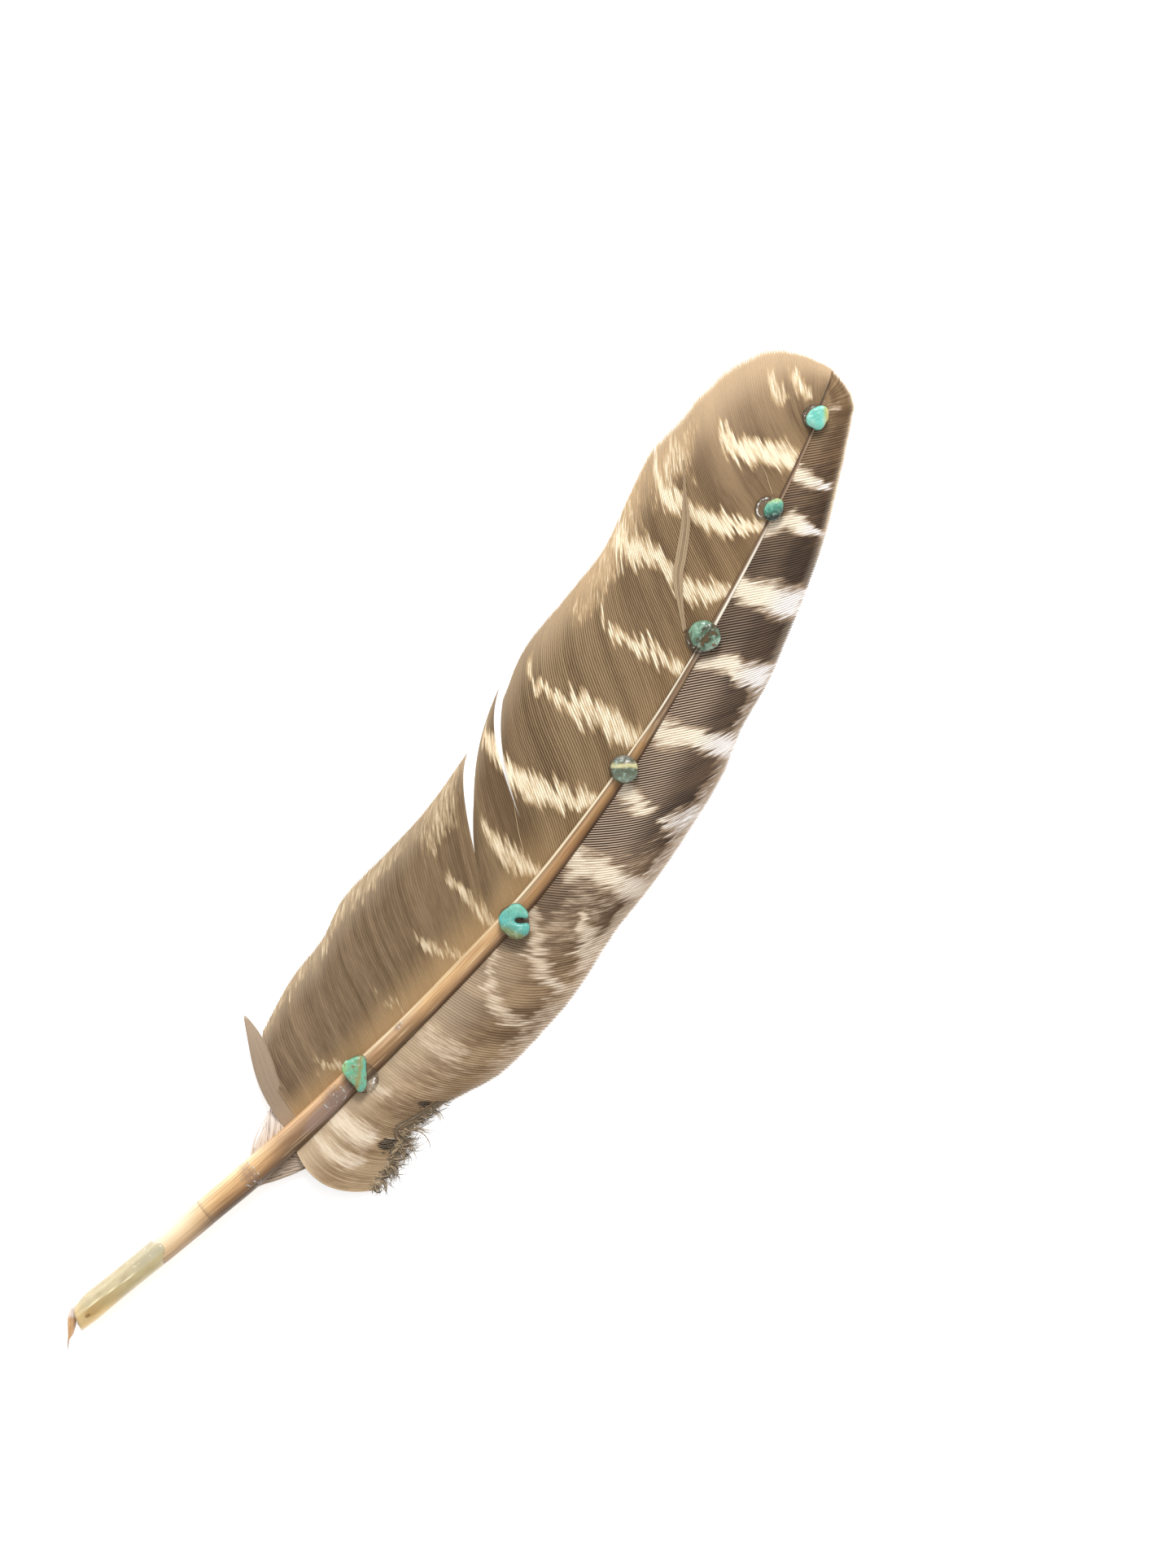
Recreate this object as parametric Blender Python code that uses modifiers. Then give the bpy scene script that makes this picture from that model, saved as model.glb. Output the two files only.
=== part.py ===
"""Quill pen: a barred wing feather, cut and dipped at one end, with six stone chips glued along its shaft.

Lengths are millimetres in the drawing and are scaled to metres in the mesh. The drawing has X along the
feather from the cut end, Y towards the wide vane and Z up, with the shaft's flat underside on Z = 0.
The last step moves everything so that the origin is under the middle of the whole feather.
"""

import math

import bmesh
import bpy
from mathutils import Matrix, Vector

MM = 0.001
TOUCH_GAP = 0.15
GLUE_GAP = 0.08
VANE_THICKNESS = 0.4
SHELL_WALL = 0.65
EDGE_HEIGHT = 0.4
START_REACH = 0.42
SLOPE_STEP = 0.5
HORN_SIDES = 20
SHAFT_SIDES = 16
PITH_SIDES = 10
CUT_SLANT = 0.32
BARREL_WALL = 0.6
SKIN_LEFT_ON = 0.05
STEP_UP = 0.1
ROOT_SHARE = 0.6
VANE_STEPS = 7
SLIT_WIDTH = 0.08
FAR = 1e9
CUTTER_REACH = 9.0
POCKET_GAP = 0.1

# Shaft stations: X, Y of the middle, width, height, Z of the underside.
SHAFT = (
    (-1.6, 0.3, 6.4, 6.4, 0.0),
    (3.0, -0.6, 6.8, 6.6, 0.0),
    (12.0, -2.35, 6.5, 6.5, 0.0),
    (27.0, -5.2, 6.6, 6.5, 0.0),
    (42.0, -7.8, 6.9, 6.7, 0.0),
    (55.0, -10.1, 7.0, 6.6, 0.0),
    (70.0, -12.3, 6.4, 6.0, 0.0),
    (90.0, -14.4, 5.8, 5.3, 0.0),
    (110.0, -16.4, 5.1, 4.7, 0.0),
    (130.0, -17.8, 4.9, 4.3, 0.0),
    (150.0, -18.6, 4.5, 3.9, 0.4),
    (170.0, -17.95, 3.9, 3.4, 1.1),
    (190.0, -16.4, 3.4, 2.9, 1.7),
    (210.0, -13.8, 2.3, 2.3, 2.2),
    (230.0, -10.3, 1.6, 1.8, 2.4),
    (255.0, -5.2, 1.2, 1.4, 2.2),
    (280.0, 1.1, 0.9, 1.1, 1.8),
    (291.0, 4.6, 0.6, 0.7, 1.6),
)
# Where along X the shaft's section turns from round to square, and where the groove under it deepens.
SQUARING = (42.0, 66.0)
GROOVE = (135.0, 150.0)
GROOVE_HALF_WIDTH = 0.4
GROOVE_DEPTH = 0.22
FLAT_FOOT = 0.6
SQUARENESS = 0.8
LIFT_START = 130.0
BARREL_END = 27.0
NECK_END = 40.0
PITH_START = 62.0
SHAFT_TIP = 290.4

# Barbs that set each vane's outline: X of the root, X and Y of the tip, start and end headings in degrees,
# and how much of the length the last bend takes.
LEFT_BASE_LOCK = (
    (68.0, 81.4, 15.3, 78.0, 50.0, 0.42),
    (69.2, 82.5, 16.4, 75.0, 56.0, 0.42),
    (70.4, 82.5, 13.2, 72.0, 50.0, 0.42),
)
LEFT_LOWER = (
    (71.8, 83.2, 10.5, 72.0, 35.0, 0.42),
    (80.0, 97.0, 13.3, 60.0, 22.0, 0.42),
    (90.0, 109.0, 13.8, 58.0, 30.0, 0.42),
    (100.0, 121.0, 16.4, 57.0, 25.0, 0.42),
    (112.0, 135.0, 15.4, 56.0, 18.0, 0.38),
    (125.0, 151.0, 14.7, 54.0, 14.0, 0.3),
    (138.0, 167.5, 15.9, 52.0, 12.0, 0.2),
)
LEFT_LOCK = (
    (138.7, 158.2, 6.2, 54.0, 38.0, 0.42),
    (144.5, 170.0, 14.4, 54.0, 28.0, 0.38),
    (150.0, 179.0, 18.5, 53.0, 24.0, 0.34),
    (154.6, 187.0, 20.8, 52.0, 14.0, 0.34),
)
LEFT_UPPER = (
    (155.1, 183.8, 18.0, 53.0, 30.0, 0.34),
    (166.0, 196.0, 21.6, 54.0, 22.0, 0.38),
    (181.0, 212.0, 22.0, 53.0, 18.0, 0.4),
    (196.0, 227.0, 22.5, 54.0, 24.0, 0.42),
    (211.0, 240.5, 25.9, 56.0, 30.0, 0.42),
    (226.0, 253.0, 28.9, 61.0, 34.0, 0.42),
    (241.0, 264.0, 28.4, 67.0, 38.0, 0.42),
    (255.0, 273.5, 28.4, 74.0, 42.0, 0.42),
    (267.0, 283.0, 25.9, 76.0, 44.0, 0.42),
    (277.0, 290.5, 21.6, 74.0, 46.0, 0.42),
    (284.0, 294.8, 15.5, 66.0, 50.0, 0.42),
    (288.0, 296.6, 10.6, 52.0, 46.0, 0.42),
    (290.0, 297.0, 8.0, 36.0, 32.0, 0.42),
)
RIGHT_BASE = (
    (66.5, 71.5, -36.6, -116.0, -42.0, 0.42),
    (75.0, 79.5, -35.4, -102.0, -48.0, 0.42),
    (84.0, 88.0, -33.4, -94.0, -50.0, 0.42),
    (93.2, 99.6, -35.7, -90.0, -46.0, 0.42),
)
RIGHT_MAIN = (
    (93.6, 100.3, -36.5, -89.0, -46.0, 0.42),
    (103.0, 112.0, -41.0, -88.0, -46.0, 0.42),
    (113.0, 124.0, -42.3, -86.0, -42.0, 0.42),
    (124.0, 139.0, -42.5, -80.0, -35.0, 0.42),
    (136.0, 156.0, -40.3, -70.0, -26.0, 0.42),
    (148.0, 172.0, -39.7, -61.0, -18.0, 0.42),
    (160.0, 187.0, -38.3, -53.0, -16.0, 0.42),
    (175.0, 203.0, -35.8, -45.0, -16.0, 0.42),
    (190.0, 215.0, -32.0, -39.0, -14.0, 0.42),
    (205.0, 228.0, -29.6, -37.0, -18.0, 0.42),
    (220.0, 240.0, -26.0, -38.0, -20.0, 0.42),
    (235.0, 253.0, -21.8, -39.0, -24.0, 0.42),
    (250.0, 264.5, -17.3, -40.0, -28.0, 0.42),
    (263.0, 275.0, -12.3, -41.0, -30.0, 0.42),
    (275.0, 284.5, -7.3, -42.0, -32.0, 0.42),
    (284.0, 291.5, -3.4, -42.0, -35.0, 0.42),
    (287.5, 294.4, -1.3, -36.0, -30.0, 0.42),
    (289.2, 296.2, 3.0, -6.0, -4.0, 0.42),
    (290.0, 296.9, 6.6, 18.0, 22.0, 0.42),
)

# Each chip: middle X and Y, glue bead radii, bead height above the shaft, chip height, chip outline.
STONES = {
    "stone_1": (
        (285.3, 2.8),
        (4.0, 3.5),
        1.7,
        2.9,
        ((-2.9, 1.7), (-0.8, 2.7), (1.9, 2.1), (3.6, 0.3))
        + ((2.7, -1.6), (0.1, -2.6), (-2.4, -2.3), (-3.0, -0.6)),
    ),
    "stone_2": (
        (261.6, -3.0),
        (3.7, 3.2),
        2.7,
        3.0,
        ((-2.6, 0.5), (-1.1, 1.8), (1.3, 1.7), (2.9, 0.2), (2.2, -1.2), (-1.0, -2.0), (-2.5, -1.2)),
    ),
    "stone_3": (
        (226.4, -10.3),
        (4.2, 4.3),
        1.8,
        3.6,
        ((-3.2, 1.0), (-1.4, 3.5), (1.4, 3.4), (3.2, 1.5))
        + ((3.2, -1.6), (1.6, -3.5), (-1.4, -3.3), (-3.3, -1.2)),
    ),
    "stone_4": (
        (188.9, -16.2),
        (4.1, 4.2),
        1.8,
        3.3,
        ((-3.1, 0.9), (-1.3, 3.1), (1.2, 3.2), (3.1, 1.3))
        + ((3.2, -1.2), (1.3, -3.2), (-1.1, -3.3), (-3.2, -1.1)),
    ),
    "stone_5": (
        (143.1, -19.4),
        (4.2, 4.5),
        1.9,
        3.2,
        ((3.7, 2.2), (4.0, -0.2), (3.4, -1.7), (2.8, -1.9), (2.0, -0.8), (1.0, 0.1), (0.2, 0.0))
        + ((0.1, -0.9), (0.8, -2.0), (1.7, -3.0), (0.8, -4.2), (-1.1, -4.4), (-2.8, -3.2), (-3.5, -0.6))
        + ((-2.6, 2.3), (-1.0, 3.4), (1.1, 3.2)),
    ),
    "stone_6": (
        (89.8, -13.8),
        (4.3, 4.6),
        2.2,
        3.1,
        ((4.1, 2.1), (4.5, 0.9), (2.8, -0.9), (1.1, -2.5), (-1.3, -4.0), (-2.5, -3.5))
        + ((-2.2, -1.4), (-1.9, 1.0), (-1.0, 3.2), (0.5, 3.8), (1.8, 3.2)),
    ),
}


def clear_scene():
    for old in list(bpy.data.objects):
        bpy.data.objects.remove(old)


def smooth_value(rows, x, column):
    """The column's value at x: a smooth curve through the rows, held level past both ends."""
    last = len(rows) - 1
    if x <= rows[0][0]:
        return rows[0][column]
    if x >= rows[last][0]:
        return rows[last][column]
    i = max(k for k in range(last) if rows[k][0] <= x)
    x0, x1 = rows[i][0], rows[i + 1][0]
    y0, y1 = rows[i][column], rows[i + 1][column]
    here = (y1 - y0) / (x1 - x0)
    before = (y0 - rows[i - 1][column]) / (x0 - rows[i - 1][0]) if i > 0 else here
    after = (rows[i + 2][column] - y1) / (rows[i + 2][0] - x1) if i + 2 <= last else here
    m0 = (before + here) / 2
    m1 = (here + after) / 2
    t = (x - x0) / (x1 - x0)
    width = x1 - x0
    rise = y0 * (1 + 2 * t) * (1 - t) ** 2 + y1 * t * t * (3 - 2 * t)
    return rise + width * (m0 * t * (1 - t) ** 2 - m1 * t * t * (1 - t))


def blend(x, start, end):
    t = min(1.0, max(0.0, (x - start) / (end - start)))
    return t * t * (3 - 2 * t)


def shaft_middle(x):
    return smooth_value(SHAFT, x, 1)


def shaft_width(x):
    return smooth_value(SHAFT, x, 2)


def shaft_height(x):
    return smooth_value(SHAFT, x, 3)


def shaft_base(x):
    return max(0.0, smooth_value(SHAFT, x, 4)) if x > LIFT_START else 0.0


def shaft_top(x):
    return shaft_base(x) + shaft_height(x)


def shaft_sideways(x):
    """Unit vector across the shaft, towards the wide vane."""
    slope = (shaft_middle(x + SLOPE_STEP) - shaft_middle(x - SLOPE_STEP)) / (2 * SLOPE_STEP)
    return Vector((-slope, 1.0, 0.0)).normalized()


def shaft_point(x, angle, grow):
    """A point of the shaft's section at x: round at the barrel, square with a flat foot further on."""
    square = blend(x, *SQUARING)
    power = 2.0 / (2.0 + SQUARENESS * square)
    half_width = shaft_width(x) / 2 + grow
    half_height = shaft_height(x) / 2 + grow
    c = math.cos(angle)
    s = math.sin(angle)
    across = half_width * math.copysign(abs(c) ** power, c)
    foot = FLAT_FOOT * square if s < 0 else 0.0
    lift = max(-half_height, (half_height + foot) * math.copysign(abs(s) ** power, s))
    if x > GROOVE[0] and s < 0 and abs(across) < GROOVE_HALF_WIDTH * half_width:
        lift += GROOVE_DEPTH * half_height * blend(x, *GROOVE)
    where = Vector((x, shaft_middle(x), 0.0)) + shaft_sideways(x) * across
    where.z = max(0.0, shaft_base(x) + shaft_height(x) / 2 + lift)
    return where


def shaft_ring(x, count, grow=0.0, slant=0.0):
    """Points round the shaft. A slant moves them along it, more on the side of the wide vane."""
    ring = []
    for k in range(count):
        angle = 2 * math.pi * (k + 0.5) / count
        where = shaft_point(x, angle, grow)
        if slant:
            across = math.cos(angle) * (shaft_width(x) / 2 + grow)
            where.x += slant * across
        ring.append(where)
    return ring


def new_object(name, bm, group, look):
    mesh = bpy.data.meshes.new(name)
    bm.to_mesh(mesh)
    bm.free()
    obj = bpy.data.objects.new(name, mesh)
    group.objects.link(obj)
    if look:
        mesh.materials.append(look)
    return obj


def add_rings(bm, rings):
    """Adds the rings' points and the side faces between them, and returns the rows of points."""
    rows = [[bm.verts.new(p * MM) for p in ring] for ring in rings]
    for a, b in zip(rows, rows[1:]):
        for k in range(len(a)):
            j = (k + 1) % len(a)
            bm.faces.new((a[k], a[j], b[j], b[k]))
    return rows


def close_and_face_out(bm):
    bmesh.ops.recalc_face_normals(bm, faces=bm.faces)
    volume = bm.calc_volume(signed=True)
    if volume < 0:
        bmesh.ops.reverse_faces(bm, faces=bm.faces)


def loft(name, rings, group, look):
    """A solid through the rings, with a flat cap at each end."""
    bm = bmesh.new()
    rows = add_rings(bm, rings)
    bm.faces.new(rows[0])
    bm.faces.new(rows[-1])
    close_and_face_out(bm)
    return new_object(name, bm, group, look)


def tube(name, outer, inner, group, look, closed_end=False):
    """A shell between outer and inner rings. It is open at both ends, or at the first end only."""
    bm = bmesh.new()
    out_rows = add_rings(bm, outer)
    in_rows = add_rings(bm, inner)
    ends = [(out_rows[0], in_rows[0])]
    if closed_end:
        bm.faces.new(out_rows[-1])
        bm.faces.new(in_rows[-1])
    else:
        ends.append((out_rows[-1], in_rows[-1]))
    for a, b in ends:
        for k in range(len(a)):
            j = (k + 1) % len(a)
            bm.faces.new((a[k], a[j], b[j], b[k]))
    close_and_face_out(bm)
    return new_object(name, bm, group, look)


def sheet(name, rows, thickness, group, look):
    """A thin solid from rows of points: an open surface that Solidify thickens both ways."""
    bm = bmesh.new()
    grid = [[bm.verts.new(p * MM) for p in row] for row in rows]
    for a, b in zip(grid, grid[1:]):
        for k in range(len(a) - 1):
            bm.faces.new((a[k], a[k + 1], b[k + 1], b[k]))
    bmesh.ops.recalc_face_normals(bm, faces=bm.faces)
    obj = new_object(name, bm, group, look)
    thicken = obj.modifiers.new("thicken", "SOLIDIFY")
    thicken.thickness = thickness * MM
    thicken.offset = 0.0
    thicken.use_even_offset = False
    return obj


def wire(name, points, radius, group, look, sides=1):
    """A thin round strand through the points, tapering to its end."""
    curve = bpy.data.curves.new(name, "CURVE")
    curve.dimensions = "3D"
    curve.bevel_depth = radius * MM
    curve.bevel_resolution = sides
    curve.use_fill_caps = True
    spline = curve.splines.new("POLY")
    spline.points.add(len(points) - 1)
    for k, point in enumerate(points):
        spline.points[k].co = (*(Vector(point) * MM), 1.0)
        spline.points[k].radius = 1.0 - 0.55 * k / (len(points) - 1)
    curve.materials.append(look)
    obj = bpy.data.objects.new(name, curve)
    group.objects.link(obj)
    return obj


def as_mesh(obj, group, look):
    """The curve made a mesh of the same name, with the doubled points at its caps joined."""
    name = obj.name
    bpy.context.view_layer.update()
    graph = bpy.context.evaluated_depsgraph_get()
    mesh = bpy.data.meshes.new_from_object(obj.evaluated_get(graph))
    matrix = obj.matrix_world.copy()
    bpy.data.objects.remove(obj)
    bm = bmesh.new()
    bm.from_mesh(mesh)
    bmesh.ops.remove_doubles(bm, verts=bm.verts, dist=1e-6)
    close_and_face_out(bm)
    solid = new_object(name, bm, group, look)
    solid.matrix_world = matrix
    return solid


def cut(obj, cutter):
    modifier = obj.modifiers.new("cut_" + cutter.name, "BOOLEAN")
    modifier.operation = "DIFFERENCE"
    modifier.solver = "EXACT"
    modifier.object = cutter


def cutter_box(name, low, high, group):
    bm = bmesh.new()
    bmesh.ops.create_cube(bm, size=1.0)
    size = Vector(high) - Vector(low)
    middle = (Vector(high) + Vector(low)) / 2
    bmesh.ops.transform(bm, matrix=Matrix.Diagonal((*(size * MM), 1.0)), verts=bm.verts)
    bmesh.ops.translate(bm, vec=middle * MM, verts=bm.verts)
    return new_object(name, bm, group, None)


def bezier(p0, p1, p2, p3, t):
    u = 1 - t
    return p0 * u**3 + p1 * (3 * u * u * t) + p2 * (3 * u * t * t) + p3 * t**3


def root_of(x, side):
    """Where a barb leaves the shaft: just clear of its side, above its middle."""
    out = shaft_sideways(x) * side * (shaft_width(x) / 2 + TOUCH_GAP)
    where = Vector((x, shaft_middle(x), 0.0)) + out
    where.z = shaft_base(x) + ROOT_SHARE * shaft_height(x)
    return where


def arch_of(x, side):
    """How far a vane rises between its root and its edge."""
    if side > 0:
        return 1.9 - 1.1 * blend(x, 200.0, 285.0)
    return 3.0 - 1.4 * blend(x, 110.0, 190.0) - 1.1 * blend(x, 200.0, 285.0)


def barb_point(rows, x, t, side):
    """A point at fraction t along the barb whose root is at x."""
    root = root_of(x, side)
    tip = Vector((smooth_value(rows, x, 1), smooth_value(rows, x, 2), EDGE_HEIGHT))
    start = math.radians(smooth_value(rows, x, 3))
    end = math.radians(smooth_value(rows, x, 4))
    span = math.hypot(tip.x - root.x, tip.y - root.y)
    p1 = root + Vector((math.cos(start), math.sin(start), 0.0)) * span * START_REACH
    p2 = tip - Vector((math.cos(end), math.sin(end), 0.0)) * span * smooth_value(rows, x, 5)
    where = bezier(root, p1, p2, tip, t)
    fall = (EDGE_HEIGHT - root.z) * t * t
    where.z = root.z + fall + arch_of(x, side) * math.sin(math.pi * t**0.85)
    return where


def vane(name, rows, side, count, group, look):
    """One run of the web as a thin sheet, with count stretches along the shaft."""
    first, last = rows[0][0], rows[-1][0]
    grid = []
    for k in range(count + 1):
        x = first + (last - first) * k / count
        grid.append([barb_point(rows, x, j / VANE_STEPS, side) for j in range(VANE_STEPS + 1)])
    return sheet(name, grid, VANE_THICKNESS, group, look)


def make_barrel(group, look):
    """The scraped horn tube, squared off at a slant where it was cut."""
    outer = [shaft_ring(0.0, HORN_SIDES, 0.0, CUT_SLANT)]
    inner = [shaft_ring(0.0, HORN_SIDES, SKIN_LEFT_ON - BARREL_WALL, CUT_SLANT)]
    for x in (3.0, 9.0, 15.0, 21.0, BARREL_END - TOUCH_GAP):
        outer.append(shaft_ring(x, HORN_SIDES))
        inner.append(shaft_ring(x, HORN_SIDES, -BARREL_WALL))
    return tube("barrel", outer, inner, group, look)


def make_neck(group, look):
    """The cream stretch where the outer skin is only partly scraped away."""
    stops = (BARREL_END, 31.0, 35.5, NECK_END - TOUCH_GAP)
    outer = [shaft_ring(x, HORN_SIDES, SKIN_LEFT_ON) for x in stops]
    inner = [shaft_ring(x, HORN_SIDES, -SHELL_WALL) for x in stops]
    return tube("neck", outer, inner, group, look)


def make_rachis(group, look):
    """The horn shell of the shaft, hollow as far as its thin tip."""
    stops = [NECK_END, 44.0, 48.0, 52.0, 56.0, 61.0, 66.0, 72.0, 80.0, 90.0, 100.0, 110.0, 120.0, 130.0]
    stops += [135.0, 142.0, 150.0, 160.0, 170.0, 180.0, 190.0, 200.0, 210.0]
    thin = [220.0, 230.0, 242.0, 255.0, 268.0, 280.0, SHAFT_TIP]
    outer = [shaft_ring(x, SHAFT_SIDES, STEP_UP if x == NECK_END else 0.0) for x in stops + thin]
    inner = [shaft_ring(x, SHAFT_SIDES, -SHELL_WALL) for x in stops]
    return tube("rachis_shell", outer, inner, group, look, closed_end=True)


def make_pith(group, look):
    stops = (PITH_START, 75.0, 90.0, 110.0, 130.0, 150.0, 170.0, 190.0, 207.0)
    rings = [shaft_ring(x, PITH_SIDES, -SHELL_WALL - 0.2) for x in stops]
    return loft("rachis_pith", rings, group, look)


def make_nib(group, cutters, look):
    """A strip of the barrel's wall left standing, trimmed to a point, bent aside and slit."""
    root = Vector((-0.55, 1.0, 3.9))
    tip = Vector((-8.1, -3.2, 1.0))
    run = (tip - root).normalized()
    across = Vector((-run.y, run.x, 0.0)).normalized() * -1
    grid = []
    for k in range(9):
        t = k / 8
        half = 1.45 * (1 - t) ** 2.2 + 0.17
        middle = root.lerp(tip, t) + Vector((0.0, 0.0, 0.55 * math.sin(math.pi * t)))
        row = []
        for j in range(7):
            v = j / 3 - 1
            sag = 0.75 * (1 - t) * v * v
            row.append(middle + across * half * v - Vector((0.0, 0.0, sag)))
        grid.append(row)
    nib = sheet("nib", grid, 0.42, group, look)
    slot_root = root.lerp(tip, 0.5)
    slot_tip = root.lerp(tip, 1.1)
    box = cutter_box("nib_slit_cut", (-0.5, -SLIT_WIDTH / 2, -3.0), (0.5, SLIT_WIDTH / 2, 3.0), cutters)
    length = (slot_tip - slot_root).length
    middle = (slot_tip + slot_root) / 2 * MM
    heading = math.atan2(run.y, run.x)
    spin = Matrix.Rotation(heading, 4, "Z")
    box.matrix_world = Matrix.Translation(middle) @ spin @ Matrix.Diagonal((length, 1.0, 1.0, 1.0))
    cut(nib, box)
    return nib


def make_pulp(group, look):
    """The dried pulp left in the barrel: a lengthwise strip along its roof and a cap near the mouth."""
    rows = []
    for k in range(8):
        x = 6.5 + 18.5 * k / 7
        rows.append([shaft_point(x, math.radians(90 + a), -1.15) for a in (-20, 0, 20)])
    strip = sheet("pulp_strip", rows, 0.25, group, look)
    bm = bmesh.new()
    bmesh.ops.create_uvsphere(bm, u_segments=12, v_segments=8, radius=1.0)
    size = Matrix.Diagonal((1.9 * MM, 1.7 * MM, 1.9 * MM, 1.0))
    place = Matrix.Translation(Vector((3.6, -0.75, 3.15)) * MM)
    bmesh.ops.transform(bm, matrix=place @ size, verts=bm.verts)
    cap = new_object("pulp_cap", bm, group, look)
    return strip, cap


def make_ink(group, look):
    """Dried ink in the mouth of the barrel."""
    bm = bmesh.new()
    bmesh.ops.create_uvsphere(bm, u_segments=10, v_segments=6, radius=1.0)
    turn = Matrix.Rotation(math.radians(-12.0), 4, "Z")
    size = Matrix.Diagonal((1.1 * MM, 0.85 * MM, 0.8 * MM, 1.0))
    place = Matrix.Translation(Vector((-0.9, -1.2, 2.2)) * MM)
    bmesh.ops.transform(bm, matrix=place @ turn @ size, verts=bm.verts)
    return new_object("ink_residue", bm, group, look)


def make_down(group, look):
    """The short soft tufts at the foot of both vanes."""
    left = []
    for k in range(5):
        t = k / 4
        x = 58.5 + 9.0 * t
        low = root_of(x, 1.0) + Vector((0.0, 0.1, 0.0))
        high = low + Vector((2.2 * t, 0.9 + 3.4 * t, -0.6 - 0.7 * t))
        left.append([low, (low + high) / 2 + Vector((0.0, 0.0, 0.3)), high])
    sheet("down_left", left, 0.35, group, look)
    right = []
    for k in range(5):
        t = k / 4
        x = 56.0 + 9.6 * t
        low = root_of(x, -1.0) - Vector((0.0, 0.1, 1.2))
        high = low + Vector((1.2 * t, -0.7 - 3.6 * t, -1.2 - 0.4 * t))
        right.append([low, (low + high) / 2 + Vector((0.0, 0.0, 0.2)), high])
    sheet("down_right", right, 0.35, group, look)


def height_over_vane(rows, side, x, y, lift):
    """Z at a distance above the upper face of a vane, over the drawing's point x, y."""
    best = (FAR, 0.0)
    for step in range(61):
        root_x = rows[0][0] + (rows[-1][0] - rows[0][0]) * step / 60
        for j in range(21):
            here = barb_point(rows, root_x, j / 20, side)
            away = math.hypot(here.x - x, here.y - y)
            best = min(best, (away, here.z))
    return best[1] + VANE_THICKNESS / 2 + lift


def make_loose_barbs(group, look, pale):
    """Barbs that have come unhooked and lie over the vanes."""
    lock = ((221.8, -7.9), (225.4, -3.6), (229.6, 0.8), (234.4, 5.2), (240.5, 8.0), (246.2, 10.2))
    twin = ((233.6, 6.4), (239.0, 9.7), (245.0, 11.9), (249.6, 14.6), (252.6, 17.8))
    thin = ((264.8, 1.2), (267.0, 5.6), (268.4, 10.4), (268.6, 14.4))
    white = ((157.4, -10.8), (160.0, -7.2), (163.2, -3.2), (166.2, 0.2))
    strands = (
        ("loose_barb_1", lock, 0.42),
        ("loose_barb_2", twin, 0.3),
        ("loose_barb_3", thin, 0.2),
        ("loose_barb_4", white, 0.22),
    )
    for name, path, radius in strands:
        points = [(x, y, height_over_vane(LEFT_UPPER, 1.0, x, y, radius + 0.1)) for x, y in path]
        wire(name, points, radius, group, pale if name == "loose_barb_4" else look)


def make_fringe(group, look):
    """The frayed ends that hook round below the rolled foot of the narrow vane."""
    hooks = (
        ("fringe_1", (72.4, -37.2), 2.0, -2.4),
        ("fringe_2", (80.6, -36.0), 2.6, -4.0),
        ("fringe_3", (88.8, -34.1), 1.8, -2.6),
    )
    for name, (x, y), run, drop in hooks:
        points = []
        for k in range(5):
            t = k / 4
            points.append((x + run * t, y + drop * t - 0.5 * math.sin(math.pi * t), 0.6 + 0.3 * t))
        wire(name, points, 0.4, group, look)


def outline_solid(name, outline, middle, base, height, offset, group, look):
    """A flat chip with rounded rims: a closed outline, extruded and bevelled."""
    curve = bpy.data.curves.new(name, "CURVE")
    curve.dimensions = "2D"
    curve.fill_mode = "BOTH"
    curve.resolution_u = 2
    bevel = 0.28 * height
    curve.extrude = (height / 2 - bevel) * MM
    curve.bevel_depth = bevel * MM
    curve.bevel_resolution = 1
    curve.offset = (offset - bevel) * MM
    spline = curve.splines.new("BEZIER")
    spline.bezier_points.add(len(outline) - 1)
    spline.use_cyclic_u = True
    for point, (x, y) in zip(spline.bezier_points, outline):
        point.co = (x * MM, y * MM, 0.0)
        point.handle_left_type = "AUTO"
        point.handle_right_type = "AUTO"
    obj = bpy.data.objects.new(name, curve)
    obj.location = Vector((middle[0], middle[1], base + height / 2)) * MM
    group.objects.link(obj)
    return as_mesh(obj, group, look)


def bead(name, middle, radii, plane, height, group, look):
    """A dome of glue. The cutters shape its pocket and its underside."""
    bm = bmesh.new()
    bmesh.ops.create_uvsphere(bm, u_segments=16, v_segments=10, radius=1.0)
    size = Matrix.Diagonal((radii[0] * MM, radii[1] * MM, height * MM, 1.0))
    place = Matrix.Translation(Vector((middle[0], middle[1], plane)) * MM)
    bmesh.ops.transform(bm, matrix=place @ size, verts=bm.verts)
    return new_object(name, bm, group, look)


def vane_plane(x, y, reach):
    """The height that clears both vanes around a bead."""
    highest = 0.0
    for side, rows in ((1.0, left_rows_at(x)), (-1.0, right_rows_at(x))):
        for dx in (-reach, -reach / 2, 0.0, reach / 2, reach):
            for k in range(7):
                root_x = min(max(x + dx - 0.6 * k, rows[0][0]), rows[-1][0])
                here = barb_point(rows, root_x, k / 40, side)
                away = math.hypot(here.x - x, here.y - y)
                if away < reach + 1.0:
                    highest = max(highest, here.z)
    return highest + VANE_THICKNESS / 2 + GLUE_GAP


def left_rows_at(x):
    return LEFT_LOWER if x < 138.0 else LEFT_LOCK if x < 155.0 else LEFT_UPPER


def right_rows_at(x):
    return RIGHT_BASE if x < 93.6 else RIGHT_MAIN


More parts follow.
